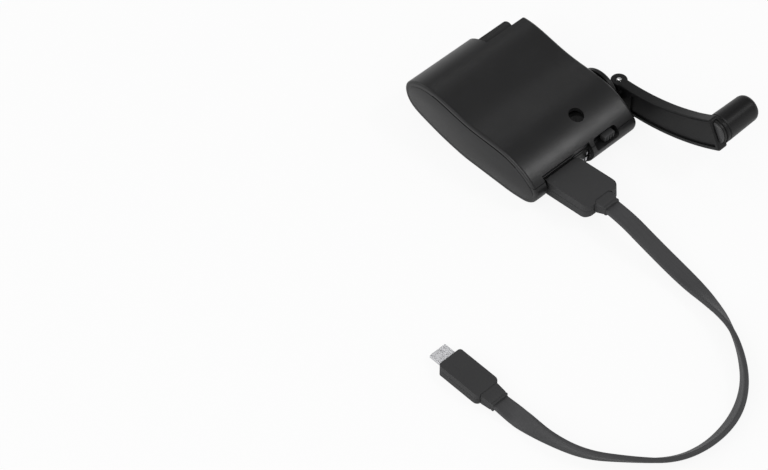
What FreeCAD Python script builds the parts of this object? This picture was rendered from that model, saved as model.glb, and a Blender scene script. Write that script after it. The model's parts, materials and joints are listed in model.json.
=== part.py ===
"""Hand crank phone charger: a folding crank, a gear train and a generator in a two-part casing,
with a flat charging lead plugged into its port.

Millimetres, +Z up. The origin is the centre of the flat on the underside. The port end faces -Y, the
rounded nose faces +Y and the crank is on the +X side.
"""
import FreeCAD, Part

import math
import os
import re

import Sketcher
from FreeCAD import Placement, Rotation, Vector

doc = FreeCAD.newDocument("HandCrankCharger")

# Driving dimensions. Every other size is worked out from these.
DIMENSIONS = {
    # casing
    "case_width": 49.5,
    "wall": 1.5,
    "rim_round": 0.9,
    "crank_side_round": 1.3,
    "seam_gap": 0.2,
    "lip_inset": 0.8,
    "lip_height": 0.9,
    "port_block_y": -18.7,
    "post_radius": 1.9,
    "groove_inset": 1.6,
    "groove_width": 0.35,
    "groove_depth": 0.35,
    # notch that holds the folded knob
    "notch_start": 5.75,
    "notch_radius": 5.6,
    "stow_y": 35.85,
    "stow_z": 16.8,
    # port and its frame
    "port_x": -10.4,
    "port_y": -20.4,
    "port_z": 6.1,
    "port_tilt": 6.0,
    "recess_left": -19.6,
    "recess_right": 3.2,
    "socket_width": 13.2,
    "socket_height": 5.7,
    "socket_depth": 11.0,
    "sheet_metal": 0.3,
    # switch
    "switch_x": 10.4,
    "switch_z": 9.3,
    "switch_pocket_length": 11.0,
    "switch_travel": 4.4,
    # indicator
    "lamp_x": 6.05,
    "lamp_y": -11.5,
    "lamp_hole_radius": 2.75,
    # crank
    "hub_y": -4.1,
    "hub_z": 9.0,
    "hub_radius": 8.5,
    "hub_start": 25.05,
    "hub_thick": 1.85,
    "shaft_radius": 2.0,
    "hinge_x": 31.5,
    "hinge_y": -8.15,
    "hinge_z": 7.7,
    "hinge_tilt": 2.1,
    "hinge_pin_radius": 0.85,
    "lug_radius": 2.4,
    "lug_height": 5.8,
    "reach": 44.81,
    "arm_rise": 13.17,
    "arm_bend_radius": 90.0,
    "knob_axis_rise": 0.5,
    "arm_thick": 4.0,
    "arm_root_width": 10.9,
    "arm_tip_half": 6.05,
    "arm_end_reach": 1.9,
    "ear_radius": 3.0,
    "knob_base_radius": 5.3,
    "knob_end_radius": 4.95,
    "knob_length": 15.3,
    "knob_axle_radius": 1.0,
    "running": 0.05,
    # gear train
    "gear_module": 0.4,
    "wheel_teeth": 30,
    "pinion_teeth": 10,
    "axle_radius": 0.6,
    "gear_face": 1.4,
    # generator
    "can_radius": 6.6,
    "can_flat": 5.0,
    "can_length": 15.0,
    # plugs and lead
    "usb_width": 15.8,
    "usb_thick": 6.0,
    "usb_length": 19.4,
    "usb_relief_length": 4.0,
    "micro_x": -91.85,
    "micro_y": -49.8,
    "micro_z": 2.4,
    "micro_width": 9.8,
    "micro_thick": 4.8,
    "micro_length": 17.9,
    "micro_relief_length": 5.3,
    "lead_diameter": 3.5,
}

sheet = doc.addObject("Spreadsheet::Sheet", "Dims")
for row, (alias, number) in enumerate(DIMENSIONS.items(), 1):
    sheet.set(f"A{row}", alias)
    sheet.set(f"B{row}", str(number))
    sheet.setAlias(f"B{row}", alias)
doc.recompute()

nodes = []


# ------------------------------------------------------------------ expressions and primitives

def ref(text):
    """An expression with each dimension's name turned into a reference to the sheet."""
    return re.sub(r"[a-z_]+", lambda m: "Dims." + m.group() if m.group() in DIMENSIONS else m.group(), text)


def value(text):
    """The number that an expression on the sheet's dimensions stands for."""
    return float(sheet.evalExpression(ref(text)))


def bind(thing, **sizes):
    """Bind an object's properties to expressions on the sheet."""
    for name, text in sizes.items():
        thing.setExpression(name, ref(text))
    return thing


AXIS_TURNS = {
    "x": Rotation(Vector(0, 1, 0), 90),
    "y": Rotation(Vector(1, 0, 0), -90),
    "z": Rotation(),
}


def place(thing, point, axis="z"):
    """Put an object's own origin at a point given as three expressions, its own Z along an axis."""
    thing.Placement = Placement(Vector(), AXIS_TURNS[axis])
    for name, text in zip("xyz", point):
        thing.setExpression(f"Placement.Base.{name}", ref(text))
    return thing


def box(name, low, size):
    """A box from its lowest corner and its size, each three expressions."""
    thing = bind(doc.addObject("Part::Box", name), Length=size[0], Width=size[1], Height=size[2])
    return place(thing, low)


def slab(name, x, y, z):
    """A box from its (low, high) expressions along X, Y and Z."""
    low = [pair[0] for pair in (x, y, z)]
    size = [f"({pair[1]}) - ({pair[0]})" for pair in (x, y, z)]
    return box(name, low, size)


def rod(name, radius, start, end, point, axis="x"):
    """A cylinder along an axis, from start to end on it. The point gives the other two coordinates."""
    thing = bind(doc.addObject("Part::Cylinder", name), Radius=radius, Height=f"({end}) - ({start})")
    corner = list(point)
    corner["xyz".index(axis)] = start
    return place(thing, corner, axis)


def cut(name, base, *tools):
    """The base less its tools."""
    thing = doc.addObject("Part::Cut", name)
    thing.Base = base
    thing.Tool = tools[0] if len(tools) == 1 else fuse(f"{name}_tools", *tools)
    return thing


def fuse(name, *parts):
    """All parts as one."""
    thing = doc.addObject("Part::MultiFuse", name)
    thing.Shapes = list(parts)
    return thing


def common(name, *parts):
    """What all parts share."""
    thing = doc.addObject("Part::MultiCommon", name)
    thing.Shapes = list(parts)
    return thing


def group(name, *parts):
    """Separate solids held together in one object."""
    thing = doc.addObject("Part::Compound", name)
    thing.Links = list(parts)
    return thing


def rounded(name, base, chosen):
    """The base with the edges that chosen(edge) gives a radius for rounded off."""
    doc.recompute()
    thing = doc.addObject("Part::Fillet", name)
    thing.Base = base
    radii = [(number, chosen(edge)) for number, edge in enumerate(base.Shape.Edges, 1)]
    thing.Edges = [(number, radius, radius) for number, radius in radii if radius]
    return thing


def extruded(name, face, direction, length):
    """A solid that a face sweeps along a direction."""
    base = doc.addObject("Part::Feature", f"{name}_profile")
    base.Shape = face
    thing = doc.addObject("Part::Extrusion", name)
    thing.Base = base
    thing.DirMode = "Custom"
    thing.Dir = direction
    thing.Solid = True
    return bind(thing, LengthFwd=length)


def framed(thing, frame):
    """The thing carried by a frame."""
    holder = group(f"{thing.Name}_framed", thing)
    holder.Placement = frame
    return holder


def node(label, thing, frame=None):
    """Name a finished sub-part, put it in its frame and keep it for writing."""
    if frame is not None and thing.ExpressionEngine:
        thing = framed(thing, frame)
    elif frame is not None:
        thing.Placement = frame.multiply(thing.Placement)
    thing.Label = label
    nodes.append(thing)
    return thing


def along(edge, direction):
    """True if an edge is straight and runs along a direction."""
    if not isinstance(edge.Curve, Part.Line):
        return False
    return abs(abs(edge.Curve.Direction.dot(direction)) - 1) < 1e-6


def sketch_body(name, corners, role="XY_Plane"):
    """A PartDesign body with one closed sketch, whose corners are pairs of expressions."""
    body = doc.addObject("PartDesign::Body", name)
    sketch = body.newObject("Sketcher::SketchObject", f"{name}_sketch")
    support = [feature for feature in body.Origin.OriginFeatures if feature.Role == role][0]
    sketch.AttachmentSupport = [(support, "")]
    sketch.MapMode = "FlatFace"
    points = [Vector(value(across), value(up), 0) for across, up in corners]
    for index, point in enumerate(points):
        sketch.addGeometry(Part.LineSegment(point, points[(index + 1) % len(points)]), False)
    for index in range(len(points)):
        sketch.addConstraint(Sketcher.Constraint("Coincident", index, 2, (index + 1) % len(points), 1))
    for index, (across, up) in enumerate(corners):
        point = points[index]
        for kind, text, number, axis in (("DistanceX", across, point.x, -2), ("DistanceY", up, point.y, -1)):
            if abs(number) < 1e-9:
                sketch.addConstraint(Sketcher.Constraint("PointOnObject", index, 1, axis))
            else:
                added = sketch.addConstraint(Sketcher.Constraint(kind, -1, 1, index, 1, number))
                sketch.setExpression(f"Constraints[{added}]", ref(text))
    return body, sketch


def turned(name, corners):
    """A PartDesign body turned about its own X axis. Corners are (along the axis, radius) expressions."""
    body, sketch = sketch_body(name, corners)
    feature = body.newObject("PartDesign::Revolution", f"{name}_revolution")
    feature.Profile = sketch
    feature.ReferenceAxis = (sketch, ["H_Axis"])
    feature.Angle = 360
    body.Tip = feature
    return body


def padded(name, corners, thickness):
    """A PartDesign body padded upwards from a sketch in its own XY plane."""
    body, sketch = sketch_body(name, corners)
    feature = body.newObject("PartDesign::Pad", f"{name}_pad")
    feature.Profile = sketch
    feature.setExpression("Length", ref(thickness))
    body.Tip = feature
    return body


# ------------------------------------------------------------------ frames

PORT = Placement(
    Vector(value("port_x"), value("port_y"), value("port_z")),
    Rotation(Vector(1, 0, 0), -value("port_tilt")),
)
HINGE = Placement(
    Vector(value("hinge_x"), value("hinge_y"), value("hinge_z")),
    Rotation(Vector(1, 0, 0), -value("hinge_tilt")),
)
MICRO = Placement(Vector(value("micro_x"), value("micro_y"), value("micro_z")), Rotation())


# ------------------------------------------------------------------ casing

# The casing's side outline as (y, z), from one end of the flat on the underside, round the port end,
# over the waved top and the nose, and back to the other end of the flat.
OUTLINE = [
    (-9.0, 0.0), (-15.3, 0.5), (-19.3, 1.5), (-21.5, 3.2), (-22.9, 5.6), (-23.2, 8.2), (-21.3, 11.0),
    (-17.6, 13.8), (-13.0, 15.9), (-7.5, 17.3), (0.0, 17.65), (9.0, 17.85), (17.0, 19.0), (25.5, 20.35),
    (32.0, 20.1), (36.9, 18.2), (39.9, 15.3), (40.2, 11.1), (38.0, 7.3), (30.8, 4.0), (23.2, 2.0),
    (15.6, 0.6), (9.0, 0.0),
]


def outline_face(inset, x):
    """The casing's outline, moved inwards by inset, as a face in the plane at x."""
    toward_port = Vector(0, -1, 0)
    points = [Vector(0, y, z) for y, z in OUTLINE]
    curve = Part.BSplineCurve()
    curve.interpolate(Points=points, InitialTangent=toward_port, FinalTangent=toward_port, Scale=False)
    moved = []
    for point in points:
        tangent = curve.tangent(curve.parameter(point))[0]
        inward = Vector(0, tangent.z, -tangent.y)
        moved.append(point + inward * inset + Vector(x, 0, 0))
    curve = Part.BSplineCurve()
    curve.interpolate(Points=moved, InitialTangent=toward_port, FinalTangent=toward_port, Scale=False)
    flat = Part.LineSegment(moved[-1], moved[0])
    return Part.Face(Part.Wire([curve.toShape(), flat.toShape()]))


def casing_block(name, inset):
    """The casing's solid shape, inset all round by a number."""
    face = outline_face(inset, inset - value("case_width") / 2)
    return extruded(name, face, Vector(1, 0, 0), f"case_width - {2 * inset}")


def above_seam(name, lift):
    """Everything above the seam between the two shells, with the seam moved up by lift."""
    nose = Vector(0, 46, 11.6 + lift)
    middle = Vector(0, 0, 7.2 + lift)
    port = Vector(0, -27, 11.4 + lift)
    seam = Part.Arc(nose, middle, port).toShape()
    top = [port, Vector(0, -27, 40), Vector(0, 46, 40), nose]
    sides = [Part.LineSegment(a, b).toShape() for a, b in zip(top, top[1:])]
    face = Part.Face(Part.Wire([seam] + sides))
    face.translate(Vector(-30, 0, 0))
    return extruded(name, face, Vector(1, 0, 0), "60")


def notch(name, grow):
    """The trough for the folded knob, open upwards and towards the nose, grown by a number all round."""
    radius = f"notch_radius + {grow}"
    start = f"notch_start - {grow}"
    trough = rod(f"{name}_trough", radius, start, "30", ("0", "stow_y", "stow_z"))
    floor = f"stow_z - notch_radius + 0.6 - {grow}"
    mouth = slab(f"{name}_mouth", (start, "30"), ("stow_y", "48"), (floor, "30"))
    return fuse(name, trough, mouth)


SCREW_SPOTS = [(-20.3, 27.0, 4.7), (20.3, 26.4, 4.5), (-20.6, -14.6, 2.5), (21.0, -15.6, 2.7)]
SCREW_HEAD_RADIUS = 1.7
SCREW_HEAD_HEIGHT = 1.1
SCREW_SHANK_RADIUS = 0.9


def build_casing():
    """The top and bottom shells, which meet on a curved seam with a tongue and groove."""
    half = value("case_width / 2")
    wall = value("wall")
    outer = casing_block("casing_outer", 0.0)

    def end_rounding(edge):
        x = edge.BoundBox.Center.x
        if edge.BoundBox.XLength > 0.01:
            return 0
        return value("crank_side_round") if x > 0 else value("rim_round")

    outer = rounded("casing_rounded", outer, end_rounding)
    inner = casing_block("casing_inner", wall)
    port_block = slab("port_block", ("-30", "30"), ("-30", "port_block_y"), ("-5", "30"))
    cavity = cut("casing_cavity", inner, notch("notch_wall", wall), port_block)
    hollow = cut("casing_hollow", outer, cavity)

    lip_inset = value("lip_inset")
    ring = cut("lip_ring", casing_block("lip_outer", lip_inset), casing_block("lip_inner", wall))
    lip_band = cut("lip_band", above_seam("lip_low", -0.4), above_seam("lip_high", value("lip_height")))
    groove_ring = cut("groove_ring", casing_block("groove_outer", lip_inset - 0.08),
                      casing_block("groove_inner", wall + 0.05))
    groove_band = cut("groove_band", above_seam("groove_low", -0.5),
                      above_seam("groove_high", value("lip_height") + 0.1))
    lip = common("seam_lip", ring, lip_band)
    groove = cut("seam_groove", common("seam_groove_full", groove_ring, groove_band),
                 notch("notch_groove", wall + 0.02))

    posts = []
    sleeves = []
    seats = []
    for number, (x, y, seat) in enumerate(SCREW_SPOTS, 1):
        point = (str(x), str(y), "0")
        posts.append(rod(f"post_{number}", "post_radius", str(seat + 2.3), "22", point, "z"))
        sleeves.append(rod(f"sleeve_{number}", "post_radius + 0.5", "-1", str(seat + 2.2), point, "z"))
        head = rod(f"seat_{number}", str(SCREW_HEAD_RADIUS + 0.2), "-2", str(seat), point, "z")
        shank = rod(f"shank_hole_{number}", str(SCREW_SHANK_RADIUS + 0.06), "-2", str(seat + 8.5), point, "z")
        seats += [head, shank]
    inside = casing_block("casing_inside", wall - 0.4)
    post_group = common("posts", fuse("posts_raw", *posts), inside)
    sleeve_group = common("sleeves", fuse("sleeves_raw", *sleeves), inside)
    cradles = common("cradles", fuse("cradles_raw", *[
        slab(f"cradle_{number}", (str(x), str(x + 1.2)), ("15", "25"), ("0", "3.9"))
        for number, x in enumerate((0.4, 10.2), 1)]), inside)

    recess = slab("port_recess", ("recess_left", "recess_right"), ("-32", "port_y"), ("-5", "30"))
    mouth = doc.addObject("Part::Box", "port_mouth")
    bind(mouth, Length="socket_width + 0.1", Width="8", Height="socket_height + 0.1")
    mouth.Placement = PORT.multiply(Placement(
        Vector(-value("socket_width + 0.1") / 2, -1, -value("socket_height + 0.1") / 2), Rotation()))
    pocket_half = "switch_pocket_length / 2"
    pocket = slab("switch_pocket", (f"switch_x - {pocket_half}", f"switch_x + {pocket_half}"),
                  ("-30", "-19.6"), ("switch_z - 1.4", "switch_z + 2.5"))
    doc.recompute()
    pocket = rounded("switch_pocket_rounded", pocket, lambda edge: 1.2 if along(edge, Vector(0, 1, 0)) else 0)
    slot = slab("switch_slot", ("switch_x - 4.6", "switch_x + 3.7"), ("-25", "-17"),
                ("switch_z - 0.7", "switch_z + 0.7"))
    lamp_hole = rod("lamp_hole", "lamp_hole_radius", "13.0", "22", ("lamp_x", "lamp_y", "0"), "z")
    shaft_hole = rod("shaft_hole", "3.05", "20", "30", ("0", "hub_y", "hub_z"))
    groove_outer = value("groove_inset")
    groove_inner = value("groove_inset + groove_width")
    end_rings = []
    for number, inset in enumerate((groove_outer, groove_inner), 1):
        face = outline_face(inset, -half - 1)
        end_rings.append(extruded(f"end_ring_{number}", face, Vector(1, 0, 0), "1 + groove_depth"))
    edge_groove = common("edge_groove", cut("groove_ring_end", *end_rings),
                         slab("groove_span", ("-30", "0"), ("-13", "27"), ("11", "30")))
    openings = fuse("casing_openings", notch("notch_cut", 0.0), recess, mouth, pocket, slot, lamp_hole,
                    shaft_hole, edge_groove, *seats)

    gap = value("seam_gap") / 2
    top_raw = common("top_raw", hollow, above_seam("seam_top", gap))
    top_full = fuse("top_full", cut("top_grooved", top_raw, groove), post_group)
    bottom_raw = cut("bottom_raw", hollow, above_seam("seam_bottom", -gap))
    lip_trimmed = cut("lip_trimmed", lip, notch("notch_lip", wall + 0.1),
                      slab("lip_port_block", ("-30", "30"), ("-30", "port_block_y + 0.1"), ("-5", "30")))
    bottom_full = fuse("bottom_full", bottom_raw, lip_trimmed, sleeve_group, cradles)
    node("top_shell", cut("top_shell_cut", top_full, openings))
    node("bottom_shell", cut("bottom_shell_cut", bottom_full, openings))

    screws = []
    for number, (x, y, seat) in enumerate(SCREW_SPOTS, 1):
        point = (str(x), str(y), "0")
        head = rod(f"screw_head_{number}", str(SCREW_HEAD_RADIUS), str(seat - SCREW_HEAD_HEIGHT), str(seat),
                   point, "z")
        shank = rod(f"screw_shank_{number}", str(SCREW_SHANK_RADIUS), str(seat - 0.5), str(seat + 7.5),
                    point, "z")
        slot_z = f"{seat} - 2"
        cross = fuse(f"screw_cross_{number}",
                     box(f"cross_a_{number}", (f"{x} - 1", f"{y} - 0.18", slot_z), ("2", "0.36", "1.5")),
                     box(f"cross_b_{number}", (f"{x} - 0.18", f"{y} - 1", slot_z), ("0.36", "2", "1.5")))
        screws.append(cut(f"screw_{number}", fuse(f"screw_body_{number}", head, shank), cross))
    node("case_screws", group("case_screw_group", *screws))


# ------------------------------------------------------------------ crank

def arm_frame_points():
    """The arm's tip centre and its direction angles at root and tip, in the hinge's frame."""
    rise = math.radians(value("arm_rise"))
    reach = value("reach")
    bend = value("arm_bend_radius")
    half_turn = math.asin(reach / (2 * bend))
    tip = Vector(0, -reach * math.cos(rise), reach * math.sin(rise))
    sag = bend * (1 - math.cos(half_turn))
    middle = tip * 0.5 - Vector(0, math.sin(rise), math.cos(rise)) * sag
    return tip, middle, rise, half_turn


def arm_outline(margin, start, x):
    """The arm's side outline less a margin, from a distance along -Y to the square tip, as a face at x."""
    tip, middle, rise, half_turn = arm_frame_points()
    tip_half = value("arm_tip_half") - margin
    end_reach = value("arm_end_reach") - margin
    corner = end_reach / 2
    root_half = value("arm_root_width") / 2 - margin
    middle_half = (root_half + tip_half) / 2
    slope = rise + half_turn
    tip_up = Vector(0, math.sin(slope), math.cos(slope))
    tip_out = Vector(0, -math.cos(slope), math.sin(slope))
    middle_up = Vector(0, math.sin(rise), math.cos(rise))
    root = Vector(0, -start, 0)
    root_top = root + Vector(0, 0, root_half)
    root_bottom = root - Vector(0, 0, root_half)
    tip_top = tip + tip_up * tip_half
    tip_bottom = tip - tip_up * tip_half
    run = [Part.Arc(root_top, middle + middle_up * middle_half, tip_top)]
    at = tip_top
    for side, edge_point in ((1, tip_top), (-1, tip_bottom)):
        centre = edge_point - tip_up * side * corner + tip_out * (end_reach - corner)
        along_edge = centre + tip_up * side * corner
        on_end = centre + tip_out * corner
        bulge = centre + (tip_up * side + tip_out) * (corner * math.sqrt(0.5))
        first, last = (along_edge, on_end) if side == 1 else (on_end, along_edge)
        run += [Part.LineSegment(at, first), Part.Arc(first, bulge, last)]
        at = last
    run += [Part.LineSegment(at, tip_bottom), Part.Arc(tip_bottom, middle - middle_up * middle_half, root_bottom),
            Part.LineSegment(root_bottom, root_top)]
    face = Part.Face(Part.Wire([part.toShape() for part in run]))
    face.translate(Vector(x, 0, 0))
    return face


def build_crank():
    """The hub on its shaft, the hinged arm and the turning knob."""
    axis_point = ("0", "hub_y", "hub_z")
    hub_end = "hub_start + hub_thick"
    disc = rod("hub_disc", "hub_radius", "hub_start", hub_end, axis_point)

    def outer_rim(edge):
        seam_line = isinstance(edge.Curve, Part.Line)
        return 0.8 if edge.BoundBox.Center.x > value("hub_start + 1") and not seam_line else 0

    disc = rounded("hub_disc_rounded", disc, outer_rim)
    lug = fuse("hub_lug",
               rod("hub_lug_round", "lug_radius", "-lug_height / 2", "lug_height / 2", ("0", "0", "0"), "z"),
               slab("hub_lug_neck", ("hub_start + hub_thick - hinge_x - 0.8", "0"),
                    ("-lug_radius", "lug_radius"), ("-lug_height / 2", "lug_height / 2")))
    lug.Placement = HINGE
    pin_hole = framed(rod("hub_pin_hole", "hinge_pin_radius", "-9", "9", ("0", "0", "0"), "z"), HINGE)
    bore = rod("hub_bore", "shaft_radius", "hub_start - 1", "hub_start + 1.3", axis_point)
    node("crank_hub", cut("crank_hub_cut", fuse("hub_full", disc, lug), pin_hole, bore))
    node("crank_shaft", rod("shaft", "shaft_radius", "18.75", "hub_start + 1.3", axis_point))

    pin = rod("pin", "hinge_pin_radius", "-arm_root_width / 2 + 0.1", "arm_root_width / 2 - 0.05",
              ("0", "0", "0"), "z")
    node("hinge_pin", pin, HINGE)

    half = "arm_thick / 2"
    inner_side = -value(half)
    blade = extruded("arm_blade", arm_outline(0.0, 0.0, inner_side), Vector(1, 0, 0), "arm_thick")

    def blade_rounding(edge):
        flat_end = abs(edge.BoundBox.Center.y) < 0.2
        return 0.6 if edge.BoundBox.XLength < 0.01 and not flat_end else 0

    blade = rounded("arm_blade_rounded", blade, blade_rounding)
    root = rod("arm_root", "ear_radius", "-arm_root_width / 2", "arm_root_width / 2", ("0", "0", "0"), "z")
    root = rounded("arm_root_rounded", root, lambda edge: 0.4 if isinstance(edge.Curve, Part.Circle) else 0)
    fork = slab("arm_fork", ("-6", "6"), ("-lug_radius - 0.9", "4"),
                ("-lug_height / 2 - 0.15", "lug_height / 2 + 0.15"))
    hole = rod("arm_pin_hole", "hinge_pin_radius + running", "-9", "9", ("0", "0", "0"), "z")
    panel = extruded("arm_panel", arm_outline(1.5, 7.5, inner_side - 1.0), Vector(1, 0, 0), "1.6")
    tip = arm_frame_points()[0] + Vector(0, 0, value("knob_axis_rise"))
    axle_spot = ("0", str(round(tip.y, 4)), str(round(tip.z, 4)))
    tip_hole = rod("arm_tip_hole", "knob_axle_radius", f"-{half} + 1.2", "4", axle_spot)
    node("crank_arm", cut("crank_arm_cut", fuse("arm_full", blade, root), fork, hole, panel, tip_hole), HINGE)

    axle = fuse("knob_axle_full",
                rod("knob_axle_shank", "knob_axle_radius", f"-{half} + 1.2", "14.7", axle_spot),
                rod("knob_axle_head", "2.6", "13.5", "14.7", axle_spot))
    node("knob_axle", axle, HINGE)

    knob_start = value("arm_thick / 2 + 0.2")
    at_knob = HINGE.multiply(Placement(Vector(knob_start, tip.y, tip.z), Rotation()))
    bore = "knob_axle_radius + running"
    end_slope = "(knob_base_radius - knob_end_radius)"
    knob = turned("knob_turned", [
        ("0", bore), ("0", "knob_base_radius - 0.5"), ("0.5", "knob_base_radius"),
        ("knob_length - 1.9", f"knob_end_radius + {end_slope} * 0.12"),
        ("knob_length - 1.2", "knob_end_radius - 0.12"), ("knob_length - 0.6", "knob_end_radius - 0.5"),
        ("knob_length - 0.15", "knob_end_radius - 1.1"), ("knob_length", "knob_end_radius - 1.6"),
        ("knob_length", "3.2"), ("11.2", "3.2"), ("11.2", bore)])
    node("crank_knob", knob, at_knob)
    cap = turned("cap_turned", [
        ("knob_length - 2.1", "0"), ("knob_length - 2.1", "3.2"), ("knob_length - 0.3", "3.2"),
        ("knob_length - 0.05", "2.9"), ("knob_length - 0.05", "0")])
    node("knob_cap", cap, at_knob)


# ------------------------------------------------------------------ gear train

PRESSURE_ANGLE = math.radians(20)
GEAR_TURN = Rotation(Vector(1, 1, 1), 120)


def involute(angle):
    """The involute function."""
    return math.tan(angle) - angle


def gear_face(teeth):
    """An involute gear's outline as a face in the XY plane, with a tooth centred on +X."""
    module = value("gear_module")
    pitch = module * teeth / 2
    tip = pitch + 0.85 * module
    root = pitch - 1.15 * module
    base = pitch * math.cos(PRESSURE_ANGLE)
    half_tooth = (math.pi / 2 - 0.16) / teeth + involute(PRESSURE_ANGLE)
    start = max(base, root) + 1e-6
    radii = [start + (tip - start) * step / 3 for step in range(4)]
    flank = [(radius, half_tooth - involute(math.acos(base / radius))) for radius in radii]

    def at(radius, angle):
        return Vector(radius * math.cos(angle), radius * math.sin(angle), 0)

    edges = []
    for tooth in range(teeth):
        centre = 2 * math.pi * tooth / teeth
        following = centre + 2 * math.pi / teeth
        rising = [at(radius, centre - angle) for radius, angle in flank]
        falling = [at(radius, centre + angle) for radius, angle in reversed(flank)]
        next_rise = at(flank[0][0], following - flank[0][1])
        foot_angle = flank[0][1]
        up = Part.BSplineCurve()
        up.interpolate(rising)
        down = Part.BSplineCurve()
        down.interpolate(falling)
        edges += [up.toShape(), Part.Arc(rising[-1], at(tip, centre), falling[0]).toShape(), down.toShape()]
        valley = at(root, centre + math.pi / teeth)
        if root < base:
            left = at(root, centre + foot_angle)
            right = at(root, following - foot_angle)
            edges += [Part.LineSegment(falling[-1], left).toShape(), Part.Arc(left, valley, right).toShape(),
                      Part.LineSegment(right, next_rise).toShape()]
        else:
            edges.append(Part.Arc(falling[-1], valley, next_rise).toShape())
    return Part.Face(Part.Wire(edges))


def gear_disc(name, teeth, start, end, centre_y, tooth_turn):
    """A toothed disc across the casing from start to end, its teeth turned by an angle from +Y."""
    disc = extruded(name, gear_face(teeth), Vector(0, 0, 1), f"{end - start}")
    turn = GEAR_TURN.multiply(Rotation(Vector(0, 0, 1), tooth_turn))
    disc.Placement = Placement(Vector(start, centre_y, value("hub_z")), turn)
    return disc


def build_gears():
    """Three meshing stages between two plates, from the crank's shaft to the generator's pinion."""
    wheel = int(value("wheel_teeth"))
    pinion = int(value("pinion_teeth"))
    step = value("gear_module * (wheel_teeth + pinion_teeth) / 2")
    face = value("gear_face")
    first_y = value("hub_y")
    gap_turn = 180 / pinion
    lanes = [18.9, 17.1, 15.3]
    point = ("0", "hub_y", "hub_z")

    teeth = gear_disc("drive_teeth", wheel, lanes[0], lanes[0] + face, first_y, 0)
    node("drive_gear", cut("drive_gear_cut", teeth, rod("drive_bore", "shaft_radius", "17", "22", point)))

    for stage in (1, 2):
        centre_y = first_y + step * stage
        small = gear_disc(f"pinion_teeth_{stage}", pinion, lanes[stage] + face, lanes[stage - 1] + face + 0.2,
                          centre_y, gap_turn)
        large = gear_disc(f"wheel_teeth_{stage}", wheel, lanes[stage], lanes[stage] + face, centre_y, 0)
        spot = ("0", str(centre_y), "hub_z")
        bore = rod(f"compound_bore_{stage}", "axle_radius + running", "13", "23", spot)
        pair = fuse(f"compound_full_{stage}", small, large)
        node(f"compound_gear_{stage}", cut(f"compound_cut_{stage}", pair, bore))
        node(f"gear_axle_{stage}", rod(f"axle_{stage}", "axle_radius", "13.8", "22.4", spot))

    motor_y = first_y + 3 * step
    spot = ("0", str(motor_y), "hub_z")
    teeth = gear_disc("motor_teeth", pinion, lanes[2] - 0.1, lanes[2] + face + 0.2, motor_y, gap_turn)
    node("motor_pinion", cut("motor_pinion_cut", teeth, rod("motor_pinion_bore", "0.5", "13", "20", spot)))

    axle_spots = [("0", str(first_y + step * stage), "hub_z") for stage in (1, 2)]
    plate_y = ("-12.3", "24.2")
    plate_z = ("4.3", "14.2")
    pillar_spots = [("0", "-10.9", "12.9"), ("0", "22.3", "13.2")]
    inner = slab("inner_plate_raw", ("13.8", "14.8"), plate_y, plate_z)
    inner_holes = [rod(f"inner_hole_{number}", "axle_radius", "13", "16", spot)
                   for number, spot in enumerate(axle_spots, 1)]
    inner_holes.append(rod("inner_motor_hole", "2.1", "13", "16", spot))
    inner_holes += [rod(f"inner_pillar_hole_{number}", "0.7", "13", "16", place_at)
                    for number, place_at in enumerate(pillar_spots, 1)]
    node("gear_plate_inner", cut("inner_plate", inner, *inner_holes))
    outer = slab("outer_plate_raw", ("21.6", "22.6"), plate_y, plate_z)
    outer_holes = [rod(f"outer_hole_{number}", "axle_radius", "21", "24", place_at)
                   for number, place_at in enumerate(axle_spots, 1)]
    outer_holes.append(rod("outer_bushing_hole", "3.0", "21", "24", point))
    outer_holes += [rod(f"outer_pillar_hole_{number}", "0.7", "21", "24", place_at)
                    for number, place_at in enumerate(pillar_spots, 1)]
    node("gear_plate_outer", cut("outer_plate", outer, *outer_holes))
    pillars = []
    for number, place_at in enumerate(pillar_spots, 1):
        pillars.append(fuse(f"pillar_{number}", rod(f"pillar_body_{number}", "1.1", "14.8", "21.6", place_at),
                            rod(f"pillar_ends_{number}", "0.7", "13.8", "22.6", place_at)))
    node("plate_pillars", group("plate_pillar_group", *pillars))

    bushing = fuse("bushing_full", rod("bushing_body", "3.0", "21.6", "24.6", point),
                   rod("bushing_flange", "3.7", "21.1", "21.6", point))
    bore = rod("bushing_bore", "shaft_radius + 0.04", "20", "26", point)
    node("shaft_bushing", cut("bushing_cut", bushing, bore))
    ring = cut("ring_cut", rod("ring_disc", "3.1", "20.45", "20.95", point),
               rod("ring_bore", "shaft_radius", "20", "21.5", point))
    node("retaining_ring", ring)


# ------------------------------------------------------------------ generator

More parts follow.
